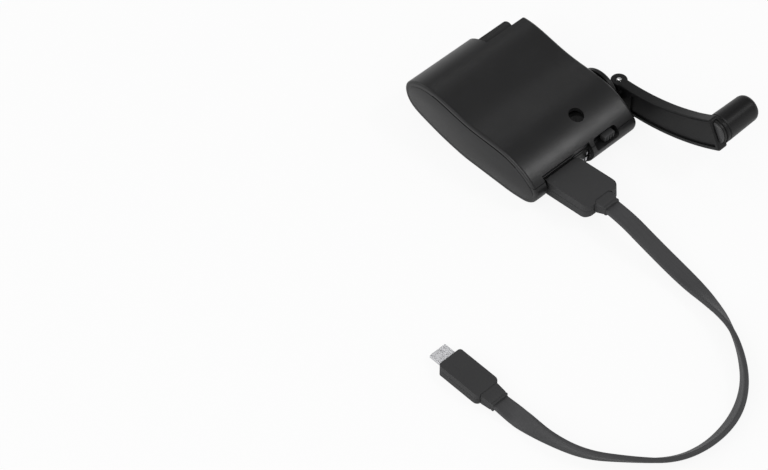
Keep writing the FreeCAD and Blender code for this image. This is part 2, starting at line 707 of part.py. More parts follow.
def build_generator():
    """A small brushed machine: can, magnets, wound rotor on its shaft, end cap, brushes and leads."""
    step = value("gear_module * (wheel_teeth + pinion_teeth) / 2")
    centre_y = value("hub_y") + 3 * step
    spot = ("0", str(centre_y), "hub_z")
    front = 13.5
    back = front - value("can_length")

    def flatted(name, radius, flat, start, end):
        drum = rod(f"{name}_drum", radius, str(start), str(end), spot)
        band = slab(f"{name}_band", (str(start), str(end)), (f"{centre_y} - 8", f"{centre_y} + 8"),
                    (f"hub_z - ({flat})", f"hub_z + ({flat})"))
        return common(name, drum, band)

    can = cut("can_cut", flatted("can_outer", "can_radius", "can_flat", back, front),
              flatted("can_inner", "can_radius - 0.5", "can_flat - 0.5", back - 1, front - 0.5),
              rod("can_bearing_hole", "2.0", "10", "15", spot))
    node("generator_can", can)
    bearing = rod("front_bearing_body", "2.0", str(front - 1.6), str(front + 0.8), spot)
    bore = rod("front_bearing_bore", "0.54", "10", "16", spot)
    node("front_bearing", cut("front_bearing_cut", bearing, bore))
    disc = flatted("end_cap_disc", "can_radius", "can_flat", back - 1.2, back)
    plug = flatted("end_cap_plug", "can_radius - 0.55", "can_flat - 0.55", back, back + 1.0)
    cap = cut("end_cap_cut", fuse("end_cap_full", disc, plug),
              rod("end_cap_bore", "0.54", str(back - 3), str(back + 3), spot),
              *[slab(f"brush_slot_{side}", (str(back - 2), str(back + 2)),
                     (f"{centre_y} + {side} * 2.6 - 0.4", f"{centre_y} + {side} * 2.6 + 0.4"),
                     ("hub_z - 1.2", "hub_z + 1.2")) for side in (-1, 1)])
    node("generator_end_cap", cap)

    drum = rod("magnet_outer", "can_radius - 0.52", str(back + 2.6), str(front - 1.2), spot)
    ring = cut("magnet_ring", drum, rod("magnet_inner", "4.85", str(back + 2), str(front - 1), spot))
    bands = [slab(f"magnet_band_{side}", (str(back + 2), str(front)),
                  (f"{centre_y} + {side} * 4.8 - 2.8", f"{centre_y} + {side} * 4.8 + 2.8"),
                  ("hub_z - 3.6", "hub_z + 3.6")) for side in (-1, 1)]
    node("magnets", group("magnet_pair", *[common(f"magnet_{number}", ring, band)
                                          for number, band in enumerate(bands, 1)]))

    stack = rod("rotor_stack", "4.3", str(back + 4.2), str(front - 2.4), spot)
    slots = []
    for number in range(3):
        slot = doc.addObject("Part::Box", f"rotor_slot_{number}")
        bind(slot, Length="can_length", Width="1.0", Height="3.0")
        turn = Rotation(Vector(1, 0, 0), 60 + 120 * number)
        offset = turn.multVec(Vector(0, -0.5, 2.6))
        slot.Placement = Placement(Vector(back, centre_y, value("hub_z")) + offset, turn)
        slots.append(slot)
    commutator = rod("commutator", "1.5", str(back + 1.3), str(back + 4.2), spot)
    body = fuse("rotor_full", cut("rotor_slotted", stack, *slots), commutator)
    node("rotor", cut("rotor_cut", body, rod("rotor_bore", "0.5", str(back - 2), str(front + 1), spot)))
    node("rotor_shaft", rod("rotor_shaft_rod", "0.5", str(back - 1.0), "16.9", spot))

    brushes = [slab(f"brush_{side}", (str(back - 1.1), str(back + 3.4)),
                    (f"{centre_y} + {side} * 2.6 - 0.2", f"{centre_y} + {side} * 2.6 + 0.2"),
                    ("hub_z - 0.9", "hub_z + 0.9")) for side in (-1, 1)]
    pads = [slab(f"brush_pad_{side}", (str(back + 2.4), str(back + 3.4)),
                 (f"{centre_y} + {side} * 2.1 - 0.55", f"{centre_y} + {side} * 2.1 + 0.55"),
                 ("hub_z - 0.9", "hub_z + 0.9")) for side in (-1, 1)]
    node("brushes", group("brush_pair", *[fuse(f"brush_full_{number}", brush, pad)
                                          for number, (brush, pad) in enumerate(zip(brushes, pads), 1)]))


# ------------------------------------------------------------------ swept paths

def rounded_path(points):
    """Straight runs joined by tangent arcs, each arc as large as its two runs allow."""
    edges = []
    radii = []
    last = points[0]
    for before, corner, after in zip(points, points[1:], points[2:]):
        arriving = corner - before
        leaving = after - corner
        half_turn = arriving.getAngle(leaving) / 2
        setback = 0.45 * min(arriving.Length, leaving.Length)
        radius = setback / math.tan(half_turn)
        radii.append(radius)
        arriving.normalize()
        leaving.normalize()
        start = corner - arriving * setback
        end = corner + leaving * setback
        inward = leaving - arriving
        inward.normalize()
        middle = corner + inward * (radius / math.cos(half_turn) - radius)
        edges.append(Part.LineSegment(last, start).toShape())
        edges.append(Part.Arc(start, middle, end).toShape())
        last = end
    edges.append(Part.LineSegment(last, points[-1]).toShape())
    return Part.Wire(edges), radii


def swept_tube(points, diameter):
    """A round tube along a rounded path, with its section's volume along the path checked."""
    path, radii = rounded_path(points)
    ring = Part.Wire(Part.makeCircle(diameter / 2, points[0], points[1] - points[0]))
    tube = path.makePipeShell([ring], True, False)
    expected = math.pi * diameter ** 2 / 4 * path.Length
    print(f"tube: length {path.Length:.1f}, radii", [round(radius, 1) for radius in radii],
          f"volume {tube.Volume:.1f} of {expected:.1f}")
    if abs(tube.Volume / expected - 1) > 0.02:
        raise RuntimeError("a tube's volume isn't its section times its length")
    return tube


def feature(name, shape):
    """A plain feature that holds a shape."""
    thing = doc.addObject("Part::Feature", name)
    thing.Shape = shape
    return thing


# ------------------------------------------------------------------ board, port, switch and indicator

def build_electronics():
    """The board above the port's socket, with the switch, the indicator and what it carries."""
    half_width = "socket_width / 2"
    half_height = "socket_height / 2"
    inner_x = (f"-{half_width} + sheet_metal", f"{half_width} - sheet_metal")
    inner_z = (f"-{half_height} + sheet_metal", f"{half_height} - sheet_metal")
    can = slab("socket_can", (f"-{half_width}", half_width), ("0", "socket_depth"),
               (f"-{half_height}", half_height))
    front = ("port_y - 0.2", "port_y")
    wings = slab("socket_wings", ("recess_left + 0.3", "recess_right - 0.3"), front, ("3.9", "8.9"))
    wings = rounded("socket_wings_rounded", wings, lambda edge: 0.8 if along(edge, Vector(0, 1, 0)) else 0)
    collar = slab("socket_collar", (f"port_x - {half_width} - 0.5", f"port_x + {half_width} + 0.5"), front,
                  (f"port_z - {half_height} - 0.3", f"port_z + {half_height} + 0.3"))
    hollow = slab("socket_hollow", inner_x, ("-2", "socket_depth - sheet_metal"), inner_z)
    socket = fuse("socket_full", framed(can, PORT), wings, collar)
    node("usb_socket_shell", cut("socket_cut", socket, framed(hollow, PORT)))
    back = "socket_depth - sheet_metal"
    tongue = fuse("tongue_full",
                  slab("tongue_blade", ("-5.5", "5.5"), ("2.0", back), ("-0.2", "1.5")),
                  slab("tongue_block", ("-5.9", "5.9"), (f"{back} - 0.6", back), ("-2.4", "2.4")))
    node("usb_socket_tongue", tongue, PORT)
    contact_x = [-3.5, -1.0, 1.0, 3.5]
    node("usb_socket_contacts", group("socket_contact_group", *[
        slab(f"socket_contact_{number}", (f"{x} - 0.45", f"{x} + 0.45"), ("2.6", "9.6"), ("-0.34", "-0.2"))
        for number, x in enumerate(contact_x, 1)]), PORT)

    board_z = f"{half_height} + 0.05"
    board = padded("board_padded", [("-7.6", "1.9"), ("14.2", "1.9"), ("14.2", "6.8"), ("22.9", "6.8"),
                                    ("22.9", "12.1"), ("-7.6", "12.1")], "1.0")
    board.Placement = Placement(Vector(0, 0, value(board_z)), Rotation())
    node("circuit_board", board, PORT)
    top = value(board_z) + 1.0

    def on_board(name, x, y, size_x, size_y, height):
        return slab(name, (str(x), str(x + size_x)), (str(y), str(y + size_y)), (str(top), str(top + height)))

    can_body = rod("capacitor_body", "2.0", str(top), str(top + 3.2), ("-4.2", "6.6", "0"), "z")
    can_body = rounded("capacitor_rounded", can_body,
                       lambda edge: 0.3 if isinstance(edge.Curve, Part.Circle) else 0)
    node("capacitor", can_body, PORT)
    chip = [on_board("chip_body", 2.0, 4.6, 5.0, 3.9, 1.4)]
    for side, leg_y in enumerate((3.9, 8.5)):
        for number in range(4):
            chip.append(on_board(f"chip_leg_{side}_{number}", 2.4 + 1.2 * number, leg_y, 0.5, 0.7, 0.3))
    node("regulator_chip", fuse("chip_full", *chip), PORT)
    node("rectifier_diodes", group("diode_group", *[
        on_board(f"diode_{number}", 9.2, 2.9 + 2.3 * number, 3.2, 1.6, 1.1) for number in range(4)]), PORT)

    board_drop = (value("lamp_y") - value("port_y")) * math.tan(math.radians(value("port_tilt")))
    base_z = value("port_z") - board_drop + top + 0.3
    dome_z = base_z + 2.8
    spot = ("lamp_x", "lamp_y", "0")
    dome = doc.addObject("Part::Sphere", "led_dome")
    bind(dome, Radius="1.5")
    place(dome, ("lamp_x", "lamp_y", str(dome_z)))
    led = fuse("led_full", rod("led_body", "1.5", str(base_z), str(dome_z), spot, "z"),
               rod("led_flange", "1.8", str(base_z), str(base_z + 0.6), spot, "z"), dome)
    node("indicator_led", led)
    node("indicator_lens", rod("lens_body", "lamp_hole_radius", "13.9", "14.9", spot, "z"))

    low = "switch_z - 1.8"
    high = "switch_z + 1.8"
    housing = slab("switch_housing", ("switch_x - 6", "switch_x + 6"), ("-18.4", "-14.4"), (low, high))
    room = slab("switch_room", ("switch_x - 5.4", "switch_x + 5.4"), ("-17.8", "-15.0"),
                ("switch_z - 1.3", "switch_z + 1.3"))
    throat = slab("switch_throat", ("switch_x - 4.6", "switch_x + 3.7"), ("-19", "-17"),
                  ("switch_z - 0.7", "switch_z + 0.7"))
    node("switch_body", cut("switch_body_cut", housing, room, throat))
    rest_x = "switch_x + 1.75"
    nub = slab("slider_nub", (f"{rest_x} - 2.45", f"{rest_x} + 2.45"), ("-22.2", "-19.85"),
               ("switch_z - 1.15", "switch_z + 1.15"))
    nub = rounded("slider_nub_rounded", nub, lambda edge: 0.4 if edge.BoundBox.Center.y < -20.5 else 0)
    ridges = []
    for number in range(3):
        middle = f"{rest_x} + {1.3 * (number - 1)}"
        ridges.append(slab(f"slider_ridge_{number}", (f"{middle} - 0.3", f"{middle} + 0.3"),
                           ("-22.5", "-22.0"), ("switch_z - 0.75", "switch_z + 0.75")))
    stem = slab("slider_stem", (f"{rest_x} - 1.6", f"{rest_x} + 1.6"), ("-19.9", "-17.2"),
                ("switch_z - 0.4", "switch_z + 0.4"))
    foot = slab("slider_foot", (f"{rest_x} - 2.4", f"{rest_x} + 2.4"), ("-17.5", "-15.3"),
                ("switch_z - 1.0", "switch_z + 1.0"))
    node("switch_slider", fuse("slider_full", nub, stem, foot, *ridges))

    wires = []
    for side in (-1, 1):
        route = [Vector(-3.1, 19.9 + 2.6 * side, 9.0), Vector(-5.2, 18.2 + 2.4 * side, 9.6),
                 Vector(-6.4 + side, 10.8, 11.2 + 0.3 * side), Vector(-6.8 + 1.3 * side, 0.5, 11.4),
                 Vector(-6.6 + 1.5 * side, -8.6, 9.7)]
        wires.append(feature(f"generator_wire_{side}", swept_tube(route, 0.9)))
    node("generator_leads", group("generator_lead_pair", *wires))


# ------------------------------------------------------------------ charging lead

# The lead's route from the big plug's strain relief to the small plug's, as (x, y, z).
LEAD_ROUTE = [
    (-10.4, -44.68, 8.65), (-10.75, -51.5, 9.1), (-12.0, -60.5, 7.3), (-12.6, -70.5, 4.8),
    (-12.5, -80.5, 3.4), (-13.4, -90.5, 3.0), (-15.1, -100.5, 3.0), (-20.8, -111.0, 3.0),
    (-30.5, -121.5, 3.0), (-42.5, -127.8, 3.0), (-56.5, -129.3, 3.0), (-69.5, -126.3, 3.0),
    (-79.8, -115.8, 3.0), (-87.6, -106.5, 3.0), (-91.0, -95.5, 3.0), (-92.2, -83.5, 2.75),
    (-91.85, -73.18, 2.4),
]


def overmold(name, half_width, half_height, front, back, corners, edge_round):
    """A plug's moulded grip, long along Y. corners are the radii of its front and back corners in plan."""
    block = slab(f"{name}_block", (f"-{half_width}", half_width), (back, front),
                 (f"-{half_height}", half_height))

    def corner_radius(edge):
        if not along(edge, Vector(0, 0, 1)):
            return 0
        at_front = edge.BoundBox.Center.y > block.Shape.BoundBox.Center.y
        return corners[0] if at_front else corners[1]

    block = rounded(f"{name}_corners", block, corner_radius)
    return rounded(f"{name}_softened", block, lambda edge: edge_round if edge.BoundBox.ZLength < 0.01 else 0)


def relief(name, front, back, front_size, back_size):
    """A strain relief that narrows from front to back, given as full (width, height) sizes."""
    wedge = doc.addObject("Part::Wedge", name)
    sizes = {"Ymin": back, "Ymax": front, "Xmin": -back_size[0] / 2, "Xmax": back_size[0] / 2,
             "Zmin": -back_size[1] / 2, "Zmax": back_size[1] / 2, "X2min": -front_size[0] / 2,
             "X2max": front_size[0] / 2, "Z2min": -front_size[1] / 2, "Z2max": front_size[1] / 2}
    for property_name, size in sizes.items():
        setattr(wedge, property_name, size)
    return rounded(f"{name}_rounded", wedge, lambda edge: 0.9 if edge.BoundBox.YLength > 1 else 0)


def build_lead():
    """The plug in the port, the lead and the small plug on its far end."""
    front = "-0.8"
    back = f"{front} - usb_length"
    grip = overmold("usb_grip", "usb_width / 2", "usb_thick / 2", front, back, (1.4, 2.6), 1.3)
    nest = slab("usb_grip_nest", ("-6.0", "6.0"), ("-5.0", "0"), ("-2.25", "2.25"))
    node("usb_a_overmold", cut("usb_grip_cut", grip, nest), PORT)
    relief_front = value(back)
    relief_back = value(f"{back} - usb_relief_length")
    node("usb_a_relief", relief("usb_relief", relief_front, relief_back, (7.8, 4.4), (6.6, 3.6)), PORT)
    shell = slab("usb_shell_outer", ("-6.0", "6.0"), ("-5.0", "9.6"), ("-2.25", "2.25"))
    windows = [slab(f"usb_shell_window_{side}", (f"{side} * 2.6 - 1.1", f"{side} * 2.6 + 1.1"),
                    ("4.4", "6.6"), ("-4", "4")) for side in (-1, 1)]
    hollow = slab("usb_shell_inner", ("-5.7", "5.7"), ("-6", "11"), ("-1.95", "1.95"))
    node("usb_a_shell", cut("usb_shell_cut", shell, hollow, *windows), PORT)
    insert = slab("usb_insert", ("-5.7", "5.7"), ("-5.0", "9.2"), ("-1.95", "-0.55"))
    node("usb_a_insert", insert, PORT)
    node("usb_a_contacts", group("usb_contact_group", *[
        slab(f"usb_contact_{number}", (f"{x} - 0.5", f"{x} + 0.5"), ("0.8", "8.4"), ("-0.55", "-0.42"))
        for number, x in enumerate([-3.5, -1.0, 1.0, 3.5], 1)]), PORT)

    route = [Vector(*point) for point in LEAD_ROUTE]
    node("flat_lead", feature("lead_tube", swept_tube(route, value("lead_diameter"))))

    grip = overmold("micro_grip", "micro_width / 2", "micro_thick / 2", "0", "-micro_length", (1.15, 1.3), 1.1)
    nest = slab("micro_grip_nest", ("-3.42", "3.42"), ("-3.0", "1"), ("-0.9", "0.9"))
    node("micro_overmold", cut("micro_grip_cut", grip, nest), MICRO)
    relief_back = value("-micro_length - micro_relief_length")
    taper = relief("micro_relief_wedge", -value("micro_length"), relief_back, (7.2, 3.9), (6.0, 3.4))
    node("micro_relief", taper, MICRO)
    body, sketch = sketch_body("micro_tube", [
        ("-3.42", "0.9"), ("-3.42", "-0.2"), ("-2.7", "-0.9"),
        ("2.7", "-0.9"), ("3.42", "-0.2"), ("3.42", "0.9")], "XZ_Plane")
    pad = body.newObject("PartDesign::Pad", "micro_tube_pad")
    pad.Profile = sketch
    pad.Length = 8.4
    pad.Reversed = True
    body.Tip = pad
    body.Placement = Placement(Vector(0, -3.0, 0), Rotation())
    hollow = slab("micro_tube_hollow", ("-3.15", "3.15"), ("-4", "7"), ("-0.2", "0.65"))
    hollow_low = slab("micro_tube_hollow_low", ("-2.6", "2.6"), ("-4", "7"), ("-0.65", "-0.1"))
    node("micro_shell", cut("micro_shell_cut", body, hollow, hollow_low), MICRO)
    insert = slab("micro_insert_block", ("-2.6", "2.6"), ("-3.0", "5.0"), ("-0.65", "-0.2"))
    node("micro_insert", insert, MICRO)


# ------------------------------------------------------------------ checks and writing

def check_and_write():
    """Stop on any failed object or shape, then write each sub-part to its own file."""
    doc.recompute()
    failed = [thing.Name for thing in doc.Objects if {"Invalid", "Error"} & set(thing.State)]
    if failed:
        raise RuntimeError(f"these objects failed: {failed}")
    for thing in nodes:
        if thing.Shape.isNull() or not thing.Shape.isValid() or not thing.Shape.Solids:
            raise RuntimeError(f"{thing.Label} has no valid solid")
    os.makedirs("parts", exist_ok=True)
    for thing in nodes:
        thing.Shape.exportStep(f"parts/{thing.Label}.step")
        size = thing.Shape.BoundBox
        print(f"{thing.Label:22s} solids {len(thing.Shape.Solids)} volume {thing.Shape.Volume:9.1f}"
              f"  x {size.XMin:7.2f} {size.XMax:7.2f}  y {size.YMin:7.2f} {size.YMax:7.2f}"
              f"  z {size.ZMin:6.2f} {size.ZMax:6.2f}")
    print(len(nodes), "nodes")


build_casing()
build_crank()
build_gears()
build_generator()
build_electronics()
build_lead()
check_and_write()
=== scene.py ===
"""Visible model of a hand crank phone charger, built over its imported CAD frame.

The scene is in metres in the frame's own axes: +Z up, -Y towards the port end, +Y towards the rounded nose
and +X towards the crank. The origin is the centre of the flat on the casing's underside. The sub-assemblies
state their sizes and places in millimetres.
"""
import json
import logging
import math
from collections.abc import Callable, Iterator, Sequence
from contextlib import contextmanager
from dataclasses import dataclass
from enum import Enum

import bmesh
import bpy
from mathutils import Matrix, Vector


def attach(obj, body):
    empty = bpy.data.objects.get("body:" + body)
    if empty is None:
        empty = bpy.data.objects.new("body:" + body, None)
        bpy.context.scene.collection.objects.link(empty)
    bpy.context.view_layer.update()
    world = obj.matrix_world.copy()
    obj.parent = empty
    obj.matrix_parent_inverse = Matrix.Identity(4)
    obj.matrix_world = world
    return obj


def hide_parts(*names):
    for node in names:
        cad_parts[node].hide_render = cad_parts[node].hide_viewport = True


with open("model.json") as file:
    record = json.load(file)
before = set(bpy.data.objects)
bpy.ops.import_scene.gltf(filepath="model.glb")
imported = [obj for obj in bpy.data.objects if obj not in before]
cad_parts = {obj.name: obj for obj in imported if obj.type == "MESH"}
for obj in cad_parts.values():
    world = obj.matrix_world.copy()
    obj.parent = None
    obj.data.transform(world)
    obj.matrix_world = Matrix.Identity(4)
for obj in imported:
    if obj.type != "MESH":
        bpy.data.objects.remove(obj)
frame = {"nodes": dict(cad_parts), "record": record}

LOG = logging.getLogger("charger")
MM = 0.001
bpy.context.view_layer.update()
IN_PLACE = Matrix.Identity(4)

# The share of a direction that lies along an axis, from which it counts as along it, mostly or partly along
# it, and below which it counts as across it.
ALONG = 0.99
MOSTLY = 0.9
PARTLY = 0.5
ACROSS = 0.1
# How near to a place, in millimetres, a face or an edge counts as being there, and a wider margin for edges
# that lean or curve.
NEAR = 0.01
MARGIN = 0.05

Colour = tuple[float, float, float]
Point = tuple[float, float, float]
Pair = tuple[float, float]
Turned = tuple[float, float, float, float]
Test = Callable[[Vector, Vector], bool]


# ------------------------------------------------------------------ shader tools


def scaled(colour: Colour, factor: float) -> Colour:
    """A colour made darker or lighter by a factor."""
    return (colour[0] * factor, colour[1] * factor, colour[2] * factor)


class Signal:
    """A shader output that Python arithmetic extends with Math nodes."""

    def __init__(self, shader: "Shader", socket: bpy.types.NodeSocket) -> None:
        """Wrap one output socket of a shader's tree."""
        self.shader = shader
        self.socket = socket

    def _math(self, operation: str, first: "Signal | float", second: "Signal | float") -> "Signal":
        """Join two values with one Math node."""
        return self.shader.signal("ShaderNodeMath", {"operation": operation}, {0: first, 1: second})

    def __add__(self, other: "Signal | float") -> "Signal":
        """Add a value."""
        return self._math("ADD", self, other)

    def __radd__(self, other: float) -> "Signal":
        """Add to a number."""
        return self._math("ADD", other, self)

    def __sub__(self, other: "Signal | float") -> "Signal":
        """Take a value away."""
        return self._math("SUBTRACT", self, other)

    def __rsub__(self, other: float) -> "Signal":
        """Take away from a number."""
        return self._math("SUBTRACT", other, self)

    def __mul__(self, other: "Signal | float") -> "Signal":
        """Scale by a value."""
        return self._math("MULTIPLY", self, other)

    def __rmul__(self, other: float) -> "Signal":
        """Scale a number."""
        return self._math("MULTIPLY", other, self)

    def swing(self, amount: float) -> "Signal":
        """Turn 0 to 1 into a swing of an amount, centred on 0."""
        return (self - 0.5) * amount

    def rising(self, low: float, high: float) -> "Signal":
        """Go smoothly from 0 at the low value to 1 at the high one, and stay level past both."""
        settings = {"interpolation_type": "SMOOTHSTEP"}
        return self.shader.signal("ShaderNodeMapRange", settings, {0: self, 1: low, 2: high})


class Shader:
    """The node tree of a material or a world."""

    def __init__(self, owner: bpy.types.Material | bpy.types.World) -> None:
        """Start with an empty tree.

        Args:
            owner: The material or world whose tree it is.
        """
        self.owner = owner
        owner.use_nodes = True
        self.tree = owner.node_tree
        self.tree.nodes.clear()

    def node(self, kind: str, settings: dict[str, object] | None = None,
             inputs: dict[int | str, object] | None = None) -> bpy.types.Node:
        """Add a node.

        Args:
            kind: The node's type.
            settings: Its properties.
            inputs: Numbers, colours or signals for its input sockets.

        Returns:
            The node.
        """
        made = self.tree.nodes.new(kind)
        for name, setting in (settings or {}).items():
            setattr(made, name, setting)
        for name, fed in (inputs or {}).items():
            if isinstance(fed, Signal):
                self.tree.links.new(fed.socket, made.inputs[name])
            else:
                made.inputs[name].default_value = fed
        return made

    def signal(self, kind: str, settings: dict[str, object] | None = None,
               inputs: dict[int | str, object] | None = None, output: int | str = 0) -> Signal:
        """Add a node, as node does, and take one of its outputs."""
        return Signal(self, self.node(kind, settings, inputs).outputs[output])

    def place(self, stretch: Point = (1.0, 1.0, 1.0), turn: Point = (0.0, 0.0, 0.0),
              layout: str = "") -> Signal:
        """Coordinates, stretched and turned.

        Args:
            stretch: Factors along the three axes.
            turn: Angles about the three axes.
            layout: The UV map that they come from, or nothing for the object's own coordinates.

        Returns:
            The coordinates.
        """
        if layout:
            where = self.signal("ShaderNodeUVMap", {"uv_map": layout})
        else:
            where = self.signal("ShaderNodeTexCoord", output="Object")
        return self.signal("ShaderNodeMapping", inputs={"Vector": where, "Scale": stretch, "Rotation": turn})

    def noise(self, where: Signal, size: float, detail: float = 2.0) -> Signal:
        """Cloudy noise from 0 to 1, whose blotches have a size in the coordinates' units."""
        inputs = {"Vector": where, "Scale": 1.0 / size, "Detail": detail}
        return self.signal("ShaderNodeTexNoise", inputs=inputs)

    def blend(self, factor: Signal | float, first: Colour | Signal, second: Colour | Signal) -> Signal:
        """Mix two colours.

        Args:
            factor: 0 gives the first and 1 the second.
            first: One colour.
            second: The other.

        Returns:
            The mixed colour.
        """
        pair = [fed if isinstance(fed, Signal) else (*fed, 1.0) for fed in (first, second)]
        inputs = {0: factor, 6: pair[0], 7: pair[1]}
        return self.signal("ShaderNodeMix", {"data_type": "RGBA"}, inputs, output=2)

    def shades(self, tone: Signal, colour: Colour, first: float, second: float) -> Signal:
        """Scale a colour by the first factor where the tone is 0 and by the second where it is 1."""
        return self.blend(tone, scaled(colour, first), scaled(colour, second))

    def bump(self, height: Signal, depth: float) -> Signal:
        """A normal from a height of 0 to 1, where 1 stands for a depth in metres."""
        return self.signal("ShaderNodeBump", inputs={"Height": height, "Distance": depth})

    def rays(self) -> tuple[Signal, Signal]:
        """Tell what looks at a surface.

        Returns:
            1 where the camera looks at it, straight or through glass, and 1 where it is mirrored.
        """
        path = self.node("ShaderNodeLightPath")
        camera, glass, mirror = (
            Signal(self, path.outputs[f"Is {kind} Ray"]) for kind in ("Camera", "Transmission", "Glossy"))
        return camera + glass, mirror

    def surface(self, **sockets: object) -> bpy.types.Material:
        """Finish with a Principled surface.

        Args:
            **sockets: Values by socket name, with _ for each space.

        Returns:
            The material.
        """
        named = {name.replace("_", " "): fed for name, fed in sockets.items()}
        shading = self.signal("ShaderNodeBsdfPrincipled", inputs=named)
        self.node("ShaderNodeOutputMaterial", inputs={0: shading})
        return self.owner


# ------------------------------------------------------------------ finishes


class Grain(Enum):
    """The way that a metal's fine lines run."""

    ROLLED_X = (0.02, 1.0, 1.0)
    ROLLED_Y = (1.0, 0.02, 1.0)
    DRAWN_Z = (1.0, 1.0, 0.02)
    EVEN = (1.0, 1.0, 1.0)


@dataclass(frozen=True)
class Finish:
    """What a surface looks like.

    Attributes:
        name: The material's name.
        colour: Its main colour.
        roughness: Its mean roughness.
    """

    name: str
    colour: Colour
    roughness: float

    def make(self) -> bpy.types.Material:
        """Build the material."""
        shader = Shader(bpy.data.materials.new(self.name))
        return shader.surface(**self.sockets(shader))

    def sockets(self, shader: Shader) -> dict[str, object]:
        """Work out what feeds the Principled surface's sockets, by name, with _ for each space."""
        raise NotImplementedError


@dataclass(frozen=True)
class MouldedPlastic(Finish):
    """Injection-moulded plastic with a spark-eroded grain, faint flow clouds and light handling marks.

    Attributes:
        specular: How strongly it shines, where 0.5 is glass.
        grain: The size of the grain in metres.
        relief: The depth of the grain in metres.
        clouds: How much its tone drifts, from 0 to 1.
        cloud_size: The size of the clouds in metres.
        rubs: How much the handling marks show, from 0 to 1.
        rub_size: The size of the marks in metres.
        rub_stretch: How the marks are drawn out along the three axes.
        rub_turn: How they are turned, in radians about the three axes.
    """

    specular: float = 0.35
    grain: float = 0.00028
    relief: float = 0.00002
    clouds: float = 0.3
    cloud_size: float = 0.014
    rubs: float = 0.3
    rub_size: float = 0.0009
    rub_stretch: Point = (0.22, 1.6, 1.0)
    rub_turn: Point = (0.2, 0.1, 0.5)

    def sockets(self, shader: Shader) -> dict[str, object]:
        """Lay the grain, the clouds and the marks over the colour.

        Args:
            shader: The material's shader.

        Returns:
            What feeds the surface.
        """
        where = shader.place()
        grain = shader.noise(where, self.grain)
        clouds = shader.noise(where, self.cloud_size, 3.0)
        streaks = shader.noise(shader.place(self.rub_stretch, self.rub_turn), self.rub_size, 1.0)
        rubs = streaks.rising(0.62, 0.74) * clouds.rising(0.42, 0.62) * self.rubs
        tone = clouds.swing(self.clouds) + grain.swing(0.35) + 0.5
        body = shader.shades(tone, self.colour, 0.7, 1.35)
        return {
            "Base_Color": shader.blend(rubs * 0.35, body, scaled(self.colour, 3.0)),
            "Roughness": clouds.swing(0.14) + grain.swing(0.12) + rubs * 0.12 + self.roughness,
            "Specular_IOR_Level": self.specular,
            "Normal": shader.bump(grain, self.relief),
        }


@dataclass(frozen=True)
class SoftSheath(Finish):
    """Soft sheathing of a flat lead, with faint drawing lines along it.

    Attributes:
        lines: How many drawing lines go round the section.
        changes: How often they change in a centimetre along it.
        grain: The size of the grain in metres.
        dust: The size of the dusty patches in metres.
        relief: The depth of the lines and the grain in metres.
    """

    lines: float = 46.0
    changes: float = 0.35
    grain: float = 0.00022
    dust: float = 0.006
    relief: float = 0.00003

    def sockets(self, shader: Shader) -> dict[str, object]:
        """Lay the lines, the grain and the dust over the colour.

        Args:
            shader: The material's shader.

        Returns:
            What feeds the surface.
        """
        along = shader.place(stretch=(self.lines, self.changes, 1.0), layout=RibbonLead.LAYOUT)
        lines = shader.noise(along, 1.0, 1.5)
        grain = shader.noise(shader.place(), self.grain)
        dust = shader.noise(shader.place(), self.dust, 3.0)
        tone = lines.swing(0.5) + grain.swing(0.3) + dust.swing(0.4) + 0.5
        return {
            "Base_Color": shader.shades(tone, self.colour, 0.75, 1.3),
            "Roughness": lines.swing(0.1) + dust.swing(0.12) + self.roughness,
            "Specular_IOR_Level": 0.4,
            "Normal": shader.bump(lines * 0.6 + grain * 0.4, self.relief),
        }


@dataclass(frozen=True)
class Metal(Finish):
    """Bare metal with fine lines and a little tarnish.

    Attributes:
        lines: The way that its fine lines run.
        tarnish: How much darker its dull patches are, from 0 to 1.
        line_width: The width of the lines in metres.
        patch_size: The size of the dull patches in metres.
        relief: The depth of the lines in metres.
    """

    lines: Grain = Grain.EVEN
    tarnish: float = 0.3
    line_width: float = 0.00012
    patch_size: float = 0.003
    relief: float = 0.000008

    def sockets(self, shader: Shader) -> dict[str, object]:
        """Lay the lines and the dull patches over the metal.

        Args:
            shader: The material's shader.

        Returns:
            What feeds the surface.
        """
        streaks = shader.noise(shader.place(stretch=self.lines.value), self.line_width)
        patches = shader.noise(shader.place(), self.patch_size, 3.0)
        dull = patches.rising(0.45, 0.75) * self.tarnish
        return {
            "Base_Color": shader.shades(dull + streaks.swing(0.2), self.colour, 1.0, 0.55),
            "Metallic": 1.0,
            "Roughness": streaks.swing(0.16) + dull * 0.3 + self.roughness,
            "Normal": shader.bump(streaks, self.relief),
        }


@dataclass(frozen=True)
class SolderMask(Finish):
    """A circuit board's lacquer over copper tracks.

    Attributes:
        track: The lacquer's colour over a track.
        spread: How many tracks there are in a metre.
        relief: How far a track stands out, in metres.
    """

    track: Colour = (0.1, 0.34, 0.14)
    spread: float = 380.0
    relief: float = 0.00003

    def sockets(self, shader: Shader) -> dict[str, object]:
        """Lay the tracks and the board's cloth under the lacquer.

        Args:
            shader: The material's shader.

        Returns:
            What feeds the surface.
        """
        borders = shader.signal(
            "ShaderNodeTexVoronoi", {"feature": "DISTANCE_TO_EDGE", "distance": "MANHATTAN"},
            {"Vector": shader.place(), "Scale": self.spread, "Randomness": 0.6}, output="Distance")
        tracks = 1.0 - borders.rising(0.05, 0.08)
        cloth = shader.noise(shader.place(), 0.0004, 1.0)
        return {
            "Base_Color": shader.blend(tracks * 0.6, self.colour, self.track),
            "Roughness": cloth.swing(0.1) + self.roughness,
            "Normal": shader.bump(tracks, self.relief),
        }


